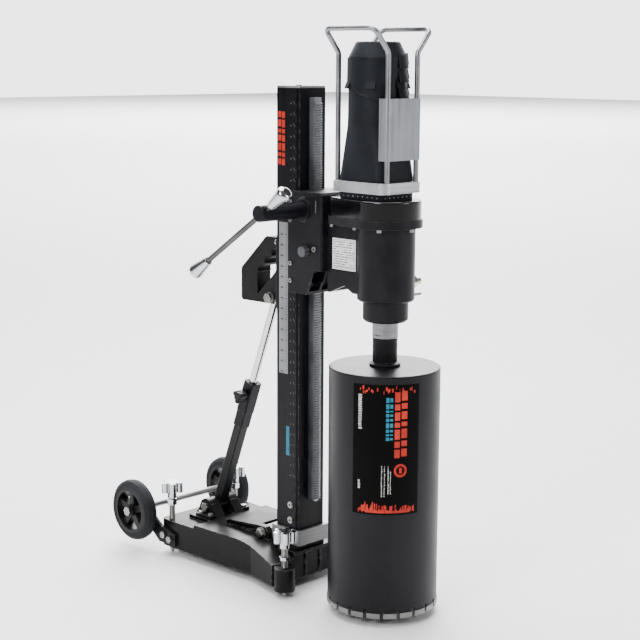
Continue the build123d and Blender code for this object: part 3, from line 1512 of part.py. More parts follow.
with BuildPart() as motor_cap:
    with BuildSketch(turned_plane(0, motor_y)):
        with BuildLine():
            Polyline(
                (0, motor_seam),
                (motor_radius, motor_seam),
                (motor_radius, motor_shoulder),
                (motor_top_radius, motor_top - 2),
                (motor_top_radius - 2, motor_top),
                (0, motor_top),
                close=True,
            )
        make_face()
    revolve(axis=upright(0, motor_y))
    for cowl in range(cowl_count):
        with BuildSketch(turned_plane(0, motor_y, 30 + cowl * 360 / cowl_count)):
            with BuildLine():
                Polyline(
                    (motor_radius - 3, motor_seam),
                    (motor_radius + 6.5, motor_seam),
                    (motor_radius - 3, motor_seam + 24),
                    close=True,
                )
            make_face()
        extrude(amount=9, both=True)
    with BuildSketch(turned_plane(0, motor_y)):
        with BuildLine():
            Polyline(
                (0, motor_seam - 1),
                (motor_radius - motor_wall, motor_seam - 1),
                (motor_radius - motor_wall, motor_bearing_z + 11),
                (armature_bearing_radius + 4, motor_bearing_z + 11),
                (armature_bearing_radius + 4, motor_bearing_z),
                (armature_bearing_radius + seat_gap, motor_bearing_z),
                (armature_bearing_radius + seat_gap, motor_bearing_z + 10),
                (0, motor_bearing_z + 10),
                close=True,
            )
        make_face()
    revolve(axis=upright(0, motor_y), mode=Mode.SUBTRACT)
save(motor_cap, "motor_cap")

with BuildPart() as stator:
    with BuildSketch(Plane((0, motor_y, stator_bottom))):
        Circle(motor_radius - motor_wall - seat_gap)
        Circle(stator_inner, mode=Mode.SUBTRACT)
        with PolarLocations(stator_inner, 2):
            Rectangle(8, 16, mode=Mode.SUBTRACT)
    extrude(amount=stator_top - stator_bottom)
save(stator, "stator")

with BuildPart() as brushes:
    brush_inner = commutator_radius + side_gap
    brush_outer = motor_radius - motor_wall - 1
    for side in (-1, 1):
        with Locations((0, motor_y + side * (brush_inner + brush_outer) / 2, brush_z)):
            Box(10, brush_outer - brush_inner, 12)
save(brushes, "brushes")

# armature with its motor pinion and, as a solid of its own, the cooling fan
with BuildPart() as armature:
    with BuildSketch(turned_plane(0, motor_y)):
        with BuildLine():
            Polyline(
                (0, stage_one_bottom),
                (armature_shaft_radius, stage_one_bottom),
                (armature_shaft_radius, stator_bottom - 2),
                (armature_radius, stator_bottom - 2),
                (armature_radius, stator_top + 2),
                (commutator_radius, stator_top + 6),
                (commutator_radius, brush_z + 10),
                (armature_shaft_radius, brush_z + 10),
                (armature_shaft_radius, motor_bearing_z + 9),
                (0, motor_bearing_z + 9),
                close=True,
            )
        make_face()
    revolve(axis=upright(0, motor_y))
    with BuildSketch(Plane((0, motor_y, stage_one_bottom))):
        with BuildLine():
            Polyline(
                gear_outline(motor_pinion_teeth, stage_one_module, 90 + 180 / motor_pinion_teeth),
                close=True,
            )
        make_face()
    extrude(amount=stage_one_top - stage_one_bottom)
    with BuildSketch(Plane((0, motor_y, fan_bottom))):
        Circle(12)
        with PolarLocations(fan_radius / 2, 9):
            Rectangle(fan_radius - 2, 2)
        Circle(armature_shaft_radius + seat_gap, mode=Mode.SUBTRACT)
    extrude(amount=13)
save(armature, "armature")

with BuildPart() as power_switch:
    with Locations(Location((switch_pivot_x, motor_y, switch_z), (0, -switch_swing / 2, 0))):
        Box(5, 2 * (switch_half_y - side_gap), 2 * switch_half_z - 5)
        Cylinder(switch_pin_radius, 2 * switch_half_y + 4, rotation=(90, 0, 0))
save(power_switch, "power_switch")

with BuildPart() as cable_gland:
    with BuildSketch(x_plane(gland_face - 8, motor_y, gland_z)):
        Circle(gland_radius)
    extrude(amount=8)
    with BuildSketch(x_plane(gland_face, motor_y, gland_z)):
        RegularPolygon(12, 6)
    extrude(amount=7)
    with BuildSketch(x_plane(gland_face + 7, motor_y, gland_z)):
        Circle(9.5)
    extrude(amount=10, taper=8)
    with BuildSketch(x_plane(gland_face - 9, motor_y, gland_z)):
        Circle(5)
    extrude(amount=40, mode=Mode.SUBTRACT)
save(cable_gland, "cable_gland")

# ---------------------------------------------------------------- guard of the motor
with BuildPart() as guard_plate:
    with BuildSketch(Plane((0, motor_y, guard_plate_bottom))):
        RectangleRounded(2 * guard_plate_x, 2 * guard_plate_y, 18)
        RectangleRounded(
            2 * (motor_foot_x + seat_gap),
            2 * (motor_foot_y + seat_gap),
            motor_foot_corner + seat_gap,
            mode=Mode.SUBTRACT,
        )
        with GridLocations(2 * post_x, 2 * post_y, 2, 2):
            Circle(guard_rod_radius + seat_gap, mode=Mode.SUBTRACT)
    extrude(amount=guard_plate_top - guard_plate_bottom)
save(guard_plate, "guard_plate")

with BuildPart() as guard_loops:
    for side in (-1, 1):
        near = side * post_x
        far = side * (post_x + guard_spread)
        with BuildLine() as route:
            FilletPolyline(
                (near, motor_y + post_y, guard_plate_bottom + 2),
                (near, motor_y + post_y, guard_bend_z),
                (far, motor_y + post_y, guard_top),
                (far, motor_y - post_y, guard_top),
                (near, motor_y - post_y, guard_bend_z),
                (near, motor_y - post_y, guard_plate_bottom + 2),
                radius=guard_bend_radius,
            )
        with BuildSketch(Plane((near, motor_y + post_y, guard_plate_bottom + 2))):
            Circle(guard_rod_radius)
        sweep(path=route.line)
save(guard_loops, "guard_loops")

# bent sheet that shields the motor's front, clipped round the two front posts
shield_front = motor_y - post_y - guard_rod_radius - seat_gap
shield_half = post_x + guard_rod_radius + seat_gap
with BuildSketch() as shield_inside:
    with Locations((0, shield_front + shield_side / 2)):
        Rectangle(2 * shield_half, shield_side)
    fillet(shield_inside.vertices().group_by(Axis.Y)[0], guard_rod_radius)
with BuildSketch() as shield_outline:
    with Locations((0, shield_front - shield_thickness / 2 + shield_side / 2)):
        Rectangle(2 * (shield_half + shield_thickness), shield_side + shield_thickness)
    fillet(shield_outline.vertices().group_by(Axis.Y)[0], guard_rod_radius + shield_thickness)
    add(shield_inside.sketch, mode=Mode.SUBTRACT)
with BuildPart() as guard_shield:
    with Locations((0, 0, shield_bottom)):
        add(extrude(shield_outline.sketch, amount=shield_top - shield_bottom, mode=Mode.PRIVATE))
save(guard_shield, "guard_shield")
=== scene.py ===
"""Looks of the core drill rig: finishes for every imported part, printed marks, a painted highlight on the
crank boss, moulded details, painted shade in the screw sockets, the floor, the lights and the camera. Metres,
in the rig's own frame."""
import math
import random

import bmesh
import bpy
from mathutils import Matrix, Vector


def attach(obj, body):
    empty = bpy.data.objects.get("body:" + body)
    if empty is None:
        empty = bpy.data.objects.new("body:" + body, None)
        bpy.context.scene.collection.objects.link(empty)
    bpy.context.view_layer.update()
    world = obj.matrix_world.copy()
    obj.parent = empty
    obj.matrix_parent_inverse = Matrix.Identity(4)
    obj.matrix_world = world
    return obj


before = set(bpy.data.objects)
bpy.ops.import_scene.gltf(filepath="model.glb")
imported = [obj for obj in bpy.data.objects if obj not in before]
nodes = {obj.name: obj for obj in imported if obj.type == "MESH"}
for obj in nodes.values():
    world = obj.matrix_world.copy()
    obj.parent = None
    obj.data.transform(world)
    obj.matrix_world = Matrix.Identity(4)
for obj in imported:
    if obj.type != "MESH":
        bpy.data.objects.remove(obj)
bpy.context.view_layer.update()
MM = 0.001


# ---------------------------------------------------------------- shader building blocks
def new_group(name, inputs, outputs):
    """An empty shader node group with its sockets; returns (group, input node, output node)."""
    group = bpy.data.node_groups.new(name, "ShaderNodeTree")
    for label, kind, default in inputs:
        socket = group.interface.new_socket(name=label, in_out="INPUT", socket_type=kind)
        socket.default_value = default
    for label, kind in outputs:
        group.interface.new_socket(name=label, in_out="OUTPUT", socket_type=kind)
    entry = group.nodes.new("NodeGroupInput")
    leave = group.nodes.new("NodeGroupOutput")
    return group, entry, leave


def math_node(tree, operation, a, b=None, c=None, clamp=False):
    """A Math node; each operand is a number or a socket."""
    node = tree.nodes.new("ShaderNodeMath")
    node.operation = operation
    node.use_clamp = clamp
    for index, value in enumerate((a, b, c)):
        if value is None:
            continue
        if isinstance(value, (int, float)):
            node.inputs[index].default_value = value
        else:
            tree.links.new(value, node.inputs[index])
    return node.outputs[0]


def noise_node(tree, vector, scale, detail=3.0, roughness=0.55):
    """A noise texture's value; scale is a number or a socket."""
    node = tree.nodes.new("ShaderNodeTexNoise")
    node.inputs["Detail"].default_value = detail
    node.inputs["Roughness"].default_value = roughness
    tree.links.new(vector, node.inputs["Vector"])
    if isinstance(scale, (int, float)):
        node.inputs["Scale"].default_value = scale
    else:
        tree.links.new(scale, node.inputs["Scale"])
    return node.outputs["Fac"]


def ramp_node(tree, value, low, high):
    """value stretched so that low becomes 0 and high becomes 1."""
    node = tree.nodes.new("ShaderNodeMapRange")
    node.inputs["From Min"].default_value = low
    node.inputs["From Max"].default_value = high
    node.interpolation_type = "SMOOTHSTEP"
    tree.links.new(value, node.inputs["Value"])
    return node.outputs["Result"]


def build_grain():
    """Fine and broad unevenness of a moulded, cast or painted skin."""
    group, entry, leave = new_group(
        "grain",
        (("Scale", "NodeSocketFloat", 900.0), ("Patch Scale", "NodeSocketFloat", 14.0)),
        (("Fine", "NodeSocketFloat"), ("Patch", "NodeSocketFloat")),
    )
    place = group.nodes.new("ShaderNodeTexCoord").outputs["Object"]
    fine = noise_node(group, place, entry.outputs["Scale"], 4.0)
    patch = noise_node(group, place, entry.outputs["Patch Scale"], 5.0, 0.6)
    group.links.new(fine, leave.inputs["Fine"])
    group.links.new(ramp_node(group, patch, 0.3, 0.7), leave.inputs["Patch"])
    return group


def build_edge_wear():
    """Mask of worn corners: where a rounded normal leaves the true one, broken up by noise."""
    group, entry, leave = new_group(
        "edge_wear",
        (("Width", "NodeSocketFloat", 0.001), ("Scale", "NodeSocketFloat", 120.0)),
        (("Mask", "NodeSocketFloat"),),
    )
    place = group.nodes.new("ShaderNodeTexCoord").outputs["Object"]
    bevel = group.nodes.new("ShaderNodeBevel")
    bevel.samples = 4
    group.links.new(entry.outputs["Width"], bevel.inputs["Radius"])
    true_normal = group.nodes.new("ShaderNodeNewGeometry").outputs["Normal"]
    dot = group.nodes.new("ShaderNodeVectorMath")
    dot.operation = "DOT_PRODUCT"
    group.links.new(bevel.outputs["Normal"], dot.inputs[0])
    group.links.new(true_normal, dot.inputs[1])
    bend = math_node(group, "SUBTRACT", 1.0, dot.outputs["Value"])
    edge = ramp_node(group, bend, 0.02, 0.2)
    broken = ramp_node(group, noise_node(group, place, entry.outputs["Scale"], 4.0), 0.42, 0.6)
    group.links.new(math_node(group, "MULTIPLY", edge, broken), leave.inputs["Mask"])
    return group


def build_brushed():
    """Long fine scratches along one axis, for rolled, ground or turned metal."""
    group, entry, leave = new_group(
        "brushed",
        (("Across", "NodeSocketVector", (2200.0, 2200.0, 30.0)),),
        (("Value", "NodeSocketFloat"), ("Streak", "NodeSocketFloat")),
    )
    place = group.nodes.new("ShaderNodeTexCoord").outputs["Object"]
    stretch = group.nodes.new("ShaderNodeVectorMath")
    stretch.operation = "MULTIPLY"
    group.links.new(place, stretch.inputs[0])
    group.links.new(entry.outputs["Across"], stretch.inputs[1])
    group.links.new(noise_node(group, stretch.outputs[0], 1.0, 3.0), leave.inputs["Value"])
    streak = noise_node(group, stretch.outputs[0], 0.12, 2.0)
    group.links.new(ramp_node(group, streak, 0.35, 0.65), leave.inputs["Streak"])
    return group


def build_dust():
    """Mask of dust and dried slurry: mostly on faces that look up, in soft patches."""
    group, entry, leave = new_group(
        "dust",
        (("Scale", "NodeSocketFloat", 22.0), ("Reach", "NodeSocketFloat", 0.5)),
        (("Mask", "NodeSocketFloat"),),
    )
    place = group.nodes.new("ShaderNodeTexCoord").outputs["Object"]
    normal = group.nodes.new("ShaderNodeNewGeometry").outputs["Normal"]
    split = group.nodes.new("ShaderNodeSeparateXYZ")
    group.links.new(normal, split.inputs[0])
    up = ramp_node(group, split.outputs["Z"], 0.2, 1.0)
    patch = ramp_node(group, noise_node(group, place, entry.outputs["Scale"], 6.0, 0.65), 0.35, 0.75)
    reach = math_node(group, "MULTIPLY", math_node(group, "ADD", up, 0.12), entry.outputs["Reach"])
    group.links.new(math_node(group, "MULTIPLY", patch, reach, clamp=True), leave.inputs["Mask"])
    return group


def build_thread():
    """Height of a screw thread round an upright axis: ridges at an even pitch along Z."""
    group, entry, leave = new_group(
        "thread",
        (("Pitch", "NodeSocketFloat", 0.002),),
        (("Height", "NodeSocketFloat"),),
    )
    place = group.nodes.new("ShaderNodeTexCoord").outputs["Object"]
    split = group.nodes.new("ShaderNodeSeparateXYZ")
    group.links.new(place, split.inputs[0])
    turns = math_node(group, "DIVIDE", split.outputs["Z"], entry.outputs["Pitch"])
    wave = math_node(group, "PINGPONG", turns, 0.5)
    group.links.new(math_node(group, "MULTIPLY", wave, 2.0), leave.inputs["Height"])
    return group


GRAIN = build_grain()
EDGE_WEAR = build_edge_wear()
BRUSHED = build_brushed()
DUST = build_dust()
THREAD = build_thread()


def place_group(tree, group, **values):
    """Puts a node group in a material and sets its inputs."""
    node = tree.nodes.new("ShaderNodeGroup")
    node.node_tree = group
    for label, value in values.items():
        node.inputs[label.replace("_", " ")].default_value = value
    return node


def mix_colour(tree, factor, a, b):
    """A colour mix; a and b are colours or sockets, factor is a number or a socket."""
    node = tree.nodes.new("ShaderNodeMix")
    node.data_type = "RGBA"
    if isinstance(factor, (int, float)):
        node.inputs[0].default_value = factor
    else:
        tree.links.new(factor, node.inputs[0])
    for index, value in ((6, a), (7, b)):
        if isinstance(value, tuple):
            node.inputs[index].default_value = (*value, 1.0)
        else:
            tree.links.new(value, node.inputs[index])
    return node.outputs[2]


def finish(
    name,
    dark,
    light,
    rough,
    metal=0.0,
    rough_spread=0.12,
    grain=900.0,
    bump=0.15,
    worn=None,
    worn_width=0.0009,
    dust=0.0,
    brushed=None,
    coat=0.0,
    coat_rough=0.1,
    pitch=None,
    round_edge=0.0006,
    specular=0.14,
):
    """A finish: two tones in patches, uneven gloss, fine bump, worn corners, dust and scratches.

    worn is the colour that shows at rubbed corners, brushed the scratches' scales along each axis,
    and pitch a screw thread's pitch. round_edge softens the look of sharp corners."""
    material = bpy.data.materials.new(name)
    material.use_nodes = True
    tree = material.node_tree
    shader = tree.nodes["Principled BSDF"]
    skin = place_group(tree, GRAIN, Scale=grain)
    colour = mix_colour(tree, skin.outputs["Patch"], dark, light)
    gloss = math_node(tree, "MULTIPLY", math_node(tree, "SUBTRACT", skin.outputs["Patch"], 0.5), rough_spread)
    roughness = math_node(tree, "ADD", gloss, rough, clamp=True)
    height = skin.outputs["Fine"]
    if brushed:
        lines = place_group(tree, BRUSHED, Across=brushed)
        height = lines.outputs["Value"]
        streak_gloss = math_node(tree, "MULTIPLY", lines.outputs["Streak"], rough_spread)
        roughness = math_node(tree, "ADD", streak_gloss, roughness, clamp=True)
        tint = tuple(min(1.0, channel * 1.25) for channel in light)
        colour = mix_colour(tree, math_node(tree, "MULTIPLY", lines.outputs["Streak"], 0.5), colour, tint)
    if worn:
        edges = place_group(tree, EDGE_WEAR, Width=worn_width)
        colour = mix_colour(tree, edges.outputs["Mask"], colour, worn)
    if dust:
        film = place_group(tree, DUST, Reach=dust)
        colour = mix_colour(tree, film.outputs["Mask"], colour, (0.12, 0.115, 0.105))
        film_gloss = math_node(tree, "MULTIPLY", film.outputs["Mask"], 0.3)
        roughness = math_node(tree, "ADD", film_gloss, roughness, clamp=True)
    tree.links.new(colour, shader.inputs["Base Color"])
    tree.links.new(roughness, shader.inputs["Roughness"])
    shader.inputs["Metallic"].default_value = metal
    shader.inputs["Specular IOR Level"].default_value = specular
    if coat:
        shader.inputs["Coat Weight"].default_value = coat
        shader.inputs["Coat Roughness"].default_value = coat_rough
    relief = tree.nodes.new("ShaderNodeBump")
    relief.inputs["Strength"].default_value = bump
    relief.inputs["Distance"].default_value = 0.0002
    tree.links.new(height, relief.inputs["Height"])
    soft = tree.nodes.new("ShaderNodeBevel")
    soft.samples = 4
    soft.inputs["Radius"].default_value = round_edge
    if pitch:
        ridges = tree.nodes.new("ShaderNodeBump")
        ridges.inputs["Strength"].default_value = 0.9
        ridges.inputs["Distance"].default_value = pitch * 0.45
        screw = place_group(tree, THREAD, Pitch=pitch)
        tree.links.new(screw.outputs["Height"], ridges.inputs["Height"])
        tree.links.new(soft.outputs["Normal"], ridges.inputs["Normal"])
        tree.links.new(ridges.outputs["Normal"], relief.inputs["Normal"])
    else:
        tree.links.new(soft.outputs["Normal"], relief.inputs["Normal"])
    tree.links.new(relief.outputs["Normal"], shader.inputs["Normal"])
    return material


# ---------------------------------------------------------------- finishes
ALONG_X = (30.0, 2200.0, 2200.0)
ALONG_Z = (2200.0, 2200.0, 30.0)
AROUND_Z = (60.0, 60.0, 2600.0)

base_paint = finish(
    "base_paint", (0.0014, 0.0014, 0.0016), (0.004, 0.004, 0.0045), 0.34, grain=420.0, bump=0.3,
    worn=(0.14, 0.14, 0.145), worn_width=0.003, dust=0.03, coat=0.1, coat_rough=0.3,
    round_edge=0.0015, specular=0.06,
)
satin_black = finish(
    "satin_black_paint", (0.0027, 0.0027, 0.0032), (0.0063, 0.0063, 0.0072), 0.38,
    worn=(0.09, 0.09, 0.095), dust=0.03, bump=0.2, round_edge=0.001,
)
anodised_black = finish(
    "anodised_black", (0.0018, 0.0018, 0.0027), (0.0045, 0.0045, 0.0059), 0.30, metal=0.35,
    brushed=ALONG_Z, bump=0.05, worn=(0.22, 0.22, 0.24), worn_width=0.0008,
)
cast_black = finish(
    "cast_black_coating", (0.0032, 0.0032, 0.0045), (0.0077, 0.0077, 0.0099), 0.42, grain=500.0,
    bump=0.45, worn=(0.11, 0.11, 0.12), worn_width=0.0012, dust=0.02, round_edge=0.001,
)
cover_gloss = finish(
    "gloss_black_cover", (0.0014, 0.0014, 0.0018), (0.0036, 0.0036, 0.0045), 0.16, coat=0.6,
    rough_spread=0.08, bump=0.08, round_edge=0.0015,
)
handle_black = finish(
    "handle_black", (0.0027, 0.0027, 0.0032), (0.0067, 0.0067, 0.0077), 0.5, grain=700.0,
    bump=0.4, worn=(0.08, 0.08, 0.085), round_edge=0.0025,
)
hub_black = finish(
    "crank_hub_black", (0.0036, 0.0036, 0.0054), (0.0090, 0.0090, 0.0117), 0.33, bump=0.15,
    worn=(0.10, 0.10, 0.12), round_edge=0.001,
)
bit_tube_black = finish(
    "bit_tube_black", (0.0030, 0.0030, 0.0046), (0.0048, 0.0048, 0.0070), 0.40, grain=600.0,
    bump=0.06, rough_spread=0.05, round_edge=0.002, specular=0.16,
)
bit_hub_black = finish(
    "bit_hub_black", (0.0036, 0.0036, 0.0045), (0.0081, 0.0081, 0.0095), 0.36, metal=0.3,
    brushed=AROUND_Z, bump=0.1, worn=(0.2, 0.2, 0.21),
)
motor_plastic = finish(
    "motor_plastic", (0.0035, 0.0042, 0.0065), (0.0065, 0.008, 0.012), 0.52, grain=1400.0,
    bump=0.35, dust=0.02, round_edge=0.0012,
)
wheel_plastic = finish(
    "wheel_plastic", (0.0027, 0.0027, 0.0032), (0.0063, 0.0063, 0.0067), 0.42, grain=1100.0,
    bump=0.2, dust=0.08, round_edge=0.0012,
)
tyre_rubber = finish(
    "tyre_rubber", (0.008, 0.009, 0.01), (0.017, 0.018, 0.021), 0.72, grain=800.0, bump=0.5,
    dust=0.1, round_edge=0.0015,
)
pad_rubber = finish("pad_rubber", (0.010, 0.010, 0.010), (0.020, 0.020, 0.020), 0.8, bump=0.5)
chrome = finish(
    "knob_chrome", (0.42, 0.43, 0.45), (0.58, 0.59, 0.61), 0.16, metal=1.0, bump=0.04,
    rough_spread=0.1, round_edge=0.0012,
)
rod_chrome = finish(
    "rod_chrome", (0.55, 0.56, 0.58), (0.70, 0.71, 0.73), 0.14, metal=1.0, bump=0.03,
    rough_spread=0.12,
)
bolt_zinc = finish(
    "bolt_zinc", (0.20, 0.20, 0.19), (0.34, 0.34, 0.32), 0.34, metal=1.0, bump=0.15,
    worn=(0.75, 0.75, 0.74),
)
screw_thread = finish(
    "screw_thread_zinc", (0.36, 0.36, 0.34), (0.52, 0.52, 0.50), 0.33, metal=1.0, bump=0.1,
    pitch=0.00175,
)
axle_steel = finish(
    "axle_steel", (0.16, 0.16, 0.165), (0.28, 0.28, 0.29), 0.38, metal=1.0, brushed=ALONG_X,
    bump=0.08,
)
dark_steel = finish(
    "dark_bar_steel", (0.05, 0.05, 0.05), (0.10, 0.10, 0.10), 0.36, metal=1.0, bump=0.08,
)
rack_steel = finish(
    "rack_steel", (0.16, 0.165, 0.175), (0.27, 0.28, 0.3), 0.45, metal=1.0, bump=0.1,
    worn=(0.5, 0.5, 0.5), worn_width=0.0006, round_edge=0.0003,
)
foot_steel = finish(
    "foot_steel", (0.12, 0.12, 0.12), (0.20, 0.20, 0.20), 0.42, metal=0.9, brushed=ALONG_X,
    bump=0.12, worn=(0.55, 0.55, 0.55),
)
gear_steel = finish("gear_steel", (0.25, 0.25, 0.26), (0.42, 0.42, 0.43), 0.3, metal=1.0, bump=0.08)
spindle_steel = finish(
    "spindle_steel", (0.13, 0.13, 0.14), (0.24, 0.24, 0.25), 0.3, metal=1.0, brushed=AROUND_Z,
    bump=0.08, worn=(0.75, 0.75, 0.75),
)
segment_silver = finish(
    "segment_matrix", (0.16, 0.155, 0.155), (0.30, 0.295, 0.29), 0.5, metal=0.8, grain=1600.0,
    bump=0.8,
)
plate_silver = finish(
    "plate_silver", (0.36, 0.37, 0.4), (0.48, 0.49, 0.52), 0.36, metal=0.9, brushed=ALONG_X,
    bump=0.08, worn=(0.85, 0.85, 0.86),
)
sheet_silver = finish(
    "sheet_silver", (0.22, 0.23, 0.25), (0.27, 0.28, 0.3), 0.4, metal=0.85, brushed=ALONG_Z,
    bump=0.03, rough_spread=0.05,
)
loop_steel = finish(
    "loop_steel", (0.2, 0.205, 0.215), (0.3, 0.305, 0.32), 0.42, metal=1.0, bump=0.1,
)
cap_grey = finish(
    "cap_grey", (0.10, 0.105, 0.105), (0.17, 0.175, 0.175), 0.55, grain=1000.0, bump=0.3,
    dust=0.2,
)
nickel = finish(
    "nickel_fitting", (0.42, 0.40, 0.36), (0.60, 0.58, 0.53), 0.28, metal=1.0, bump=0.08,
)
lock_grey = finish("lock_knob_grey", (0.05, 0.05, 0.06), (0.09, 0.09, 0.10), 0.4, bump=0.2)
slide_plastic = finish("slide_plastic", (0.42, 0.42, 0.38), (0.52, 0.52, 0.48), 0.5, bump=0.2)
winding_iron = finish(
    "laminated_iron", (0.12, 0.10, 0.09), (0.24, 0.20, 0.17), 0.5, metal=0.7, brushed=AROUND_Z,
)
carbon = finish("brush_carbon", (0.02, 0.02, 0.02), (0.04, 0.04, 0.04), 0.7)
rocker_red = finish(
    "rocker_red", (0.30, 0.02, 0.015), (0.40, 0.03, 0.02), 0.22, grain=1200.0, bump=0.08,
)
panel_black = finish(
    "panel_black", (0.0006, 0.0006, 0.0006), (0.0015, 0.0015, 0.0015), 0.4, bump=0.05,
    specular=0.04,
)
print_red = finish(
    "print_red", (0.3, 0.013, 0.007), (0.52, 0.034, 0.018), 0.4, bump=0.1, grain=500.0,
)
print_cyan = finish("print_cyan", (0.01, 0.11, 0.17), (0.02, 0.19, 0.28), 0.4, bump=0.1)
print_white = finish("print_white", (0.36, 0.36, 0.35), (0.52, 0.52, 0.50), 0.5, bump=0.1)
# grey print; on the carriage side also the painted highlight on the crank boss rim
grey_print_and_boss_highlight = finish("grey_print_and_boss_highlight", (0.05, 0.05, 0.052), (0.09, 0.09, 0.095), 0.5, bump=0.1)
ruler_silver = finish(
    "ruler_silver", (0.13, 0.132, 0.14), (0.22, 0.222, 0.23), 0.4, metal=0.6, brushed=ALONG_Z,
    bump=0.05,
)
label_paper = finish("label_film", (0.66, 0.66, 0.66), (0.78, 0.78, 0.78), 0.35, bump=0.05)
# dark print, dark seams, and the painted shade in the screw sockets
dark_print_seam_and_socket_shade = finish("dark_print_seam_and_socket_shade", (0.004, 0.004, 0.004), (0.010, 0.010, 0.010), 0.6, bump=0.2)

node_finishes = {
    base_paint: ("base_casting",),
    satin_black: ("strut_ears", "axle_brackets", "strut_tube"),
    anodised_black: ("column_tube", "strut_collar"),
    cast_black: ("carriage", "gear_housing"),
    cover_gloss: ("gear_cover",),
    handle_black: ("carry_handle",),
    hub_black: ("crank_hub",),
    bit_tube_black: ("bit_tube",),
    bit_hub_black: ("bit_hub",),
    motor_plastic: ("motor_housing", "motor_cap", "cable_gland"),
    wheel_plastic: ("wheel_hub_left", "wheel_hub_right", "clamp_knob"),
    tyre_rubber: ("tyre_left", "tyre_right"),
    pad_rubber: ("rest_pad", "water_seals"),
    chrome: ("crank_knobs",),
    rod_chrome: ("strut_rod",),
    bolt_zinc: (
        "hinge_bolt",
        "base_fasteners",
        "column_screws",
        "handle_bolts",
        "carriage_bolts",
        "valve_lever",
    ),
    axle_steel: ("axle",),
    dark_steel: ("crank_bar",),
    rack_steel: ("rack",),
    foot_steel: ("column_foot",),
    gear_steel: ("pinion_shaft", "spindle_gear", "idler_gear", "bearings"),
    spindle_steel: ("spindle",),
    segment_silver: ("bit_segments",),
    plate_silver: ("guard_plate",),
    sheet_silver: ("guard_shield",),
    loop_steel: ("guard_loops",),
    cap_grey: ("column_cap",),
    nickel: ("water_fitting",),
    lock_grey: ("feed_lock_knob",),
    slide_plastic: ("slide_pads",),
    winding_iron: ("stator", "armature"),
    carbon: ("brushes",),
    rocker_red: ("power_switch",),
}
corners = ("front_left", "front_right", "rear_left", "rear_right")
for corner in corners:
    node_finishes.setdefault(screw_thread, ())
    node_finishes[screw_thread] += (f"levelling_screw_{corner}",)
    node_finishes[chrome] += (f"levelling_knob_{corner}",)
for material, names in node_finishes.items():
    for name in names:
        mesh = nodes[name].data
        mesh.materials.clear()
        mesh.materials.append(material)


# ---------------------------------------------------------------- mesh helpers
def add_piece(name, body, material, verts, faces, smooth=False):
    """A new mesh piece, in millimetres of the rig's frame, that rides on a body."""
    mesh = bpy.data.meshes.new(name)
    mesh.from_pydata([Vector(v) * MM for v in verts], [], faces)
    mesh.update()
    work = bmesh.new()
    work.from_mesh(mesh)
    bmesh.ops.recalc_face_normals(work, faces=work.faces)
    work.to_mesh(mesh)
    work.free()
    piece = bpy.data.objects.new(name, mesh)
    bpy.context.scene.collection.objects.link(piece)
    mesh.materials.append(material)
    if smooth:
        for polygon in mesh.polygons:
            polygon.use_smooth = True
    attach(piece, body)
    return piece


class Shape:
    """Gathers vertices and faces of many small solids into one mesh."""

    def __init__(self):
        self.verts = []
        self.faces = []

    def prism(self, outline, lift, depth):
        """A closed prism: outline is a list of 3-D points, lift its offset vector times depth."""
        base = len(self.verts)
        count = len(outline)
        step = Vector(lift) * depth
        self.verts += [tuple(p) for p in outline]
        self.verts += [tuple(Vector(p) + step) for p in outline]
        self.faces.append(tuple(range(base, base + count)))
        self.faces.append(tuple(range(base + count, base + 2 * count)))
        for i in range(count):
            j = (i + 1) % count
            self.faces.append((base + i, base + j, base + count + j, base + count + i))

    def add(self, name, body, material, slot=None, smooth=False):
        return add_piece(name, body, material, self.verts, self.faces, smooth)


def on_side(x, points):
    """Outline points (y, z) on a plane across X."""
    return [(x, y, z) for y, z in points]


def block(y, z, wide, tall, slant=0.0):
    """A parallelogram in a plane across X: (y, z) is its lower corner, slant shifts its top."""
    return [(y, z), (y + wide, z), (y + wide + slant, z + tall), (y + slant, z + tall)]


def disc(y, z, radius, count=16):
    """A round outline in a plane across X."""
    return [
        (y + radius * math.cos(2 * math.pi * i / count), z + radius * math.sin(2 * math.pi * i / count))
        for i in range(count)
    ]


# ---------------------------------------------------------------- marks on the core bit
TUBE_R = 100.0


def wrap(shape, start, stop, low, high, radius=TUBE_R + 0.05, thick=0.12, steps=None):
    """A thin curved plate on the tube between two angles; low and high may be functions of angle."""
    steps = steps or max(1, int(abs(stop - start) / 1.5))
    base = len(shape.verts)
    for i in range(steps + 1):
        angle = start + (stop - start) * i / steps
        bottom = low(angle) if callable(low) else low
        top = high(angle) if callable(high) else high
        turn = math.radians(angle)
        for r in (radius, radius + thick):
            for z in (bottom, top):
                shape.verts.append((r * math.cos(turn), r * math.sin(turn), z))
    for i in range(steps):
        a = base + 4 * i
        b = a + 4
        shape.faces += [
            (a + 2, b + 2, b + 3, a + 3),
            (a, a + 1, b + 1, b),
            (a, b, b + 2, a + 2),
            (a + 1, a + 3, b + 3, b + 1),
        ]
    end = base + 4 * steps
    shape.faces += [(base, base + 2, base + 3, base + 1), (end, end + 1, end + 3, end + 2)]


random.seed(7)
panel = Shape()
wrap(panel, 190.5, 260.0, 208.0, 441.0)
panel.add("bit_panel", "spindle", panel_black)

reds = Shape()
OVER = TUBE_R + 0.18
# tall column of chevrons and blocks down the middle of the panel
mark_z = 311.0
tall = 0
while mark_z < 418.0:
    height = (15.0, 11.0, 18.0, 9.0)[tall % 4]
    wrap(reds, 233.5, 239.0, mark_z, mark_z + height, OVER)
    wrap(reds, 240.5, 246.5, mark_z + 2.5, mark_z + height + 1.5, OVER)
    mark_z += height + 3.4
    tall += 1
# a ring with a block in it, below the column
for turn_index in range(20):
    first = 2 * math.pi * turn_index / 20
    wrap(
        reds,
        240.0 + 5.6 * math.cos(first) - 1.1,
        240.0 + 5.6 * math.cos(first) + 1.1,
        288.0 + 10.0 * math.sin(first) - 1.9,
        288.0 + 10.0 * math.sin(first) + 1.9,
        OVER,
        steps=1,
    )
wrap(reds, 238.6, 241.6, 283.0, 293.0, OVER)
# ragged bands of flecks along the panel's two ends


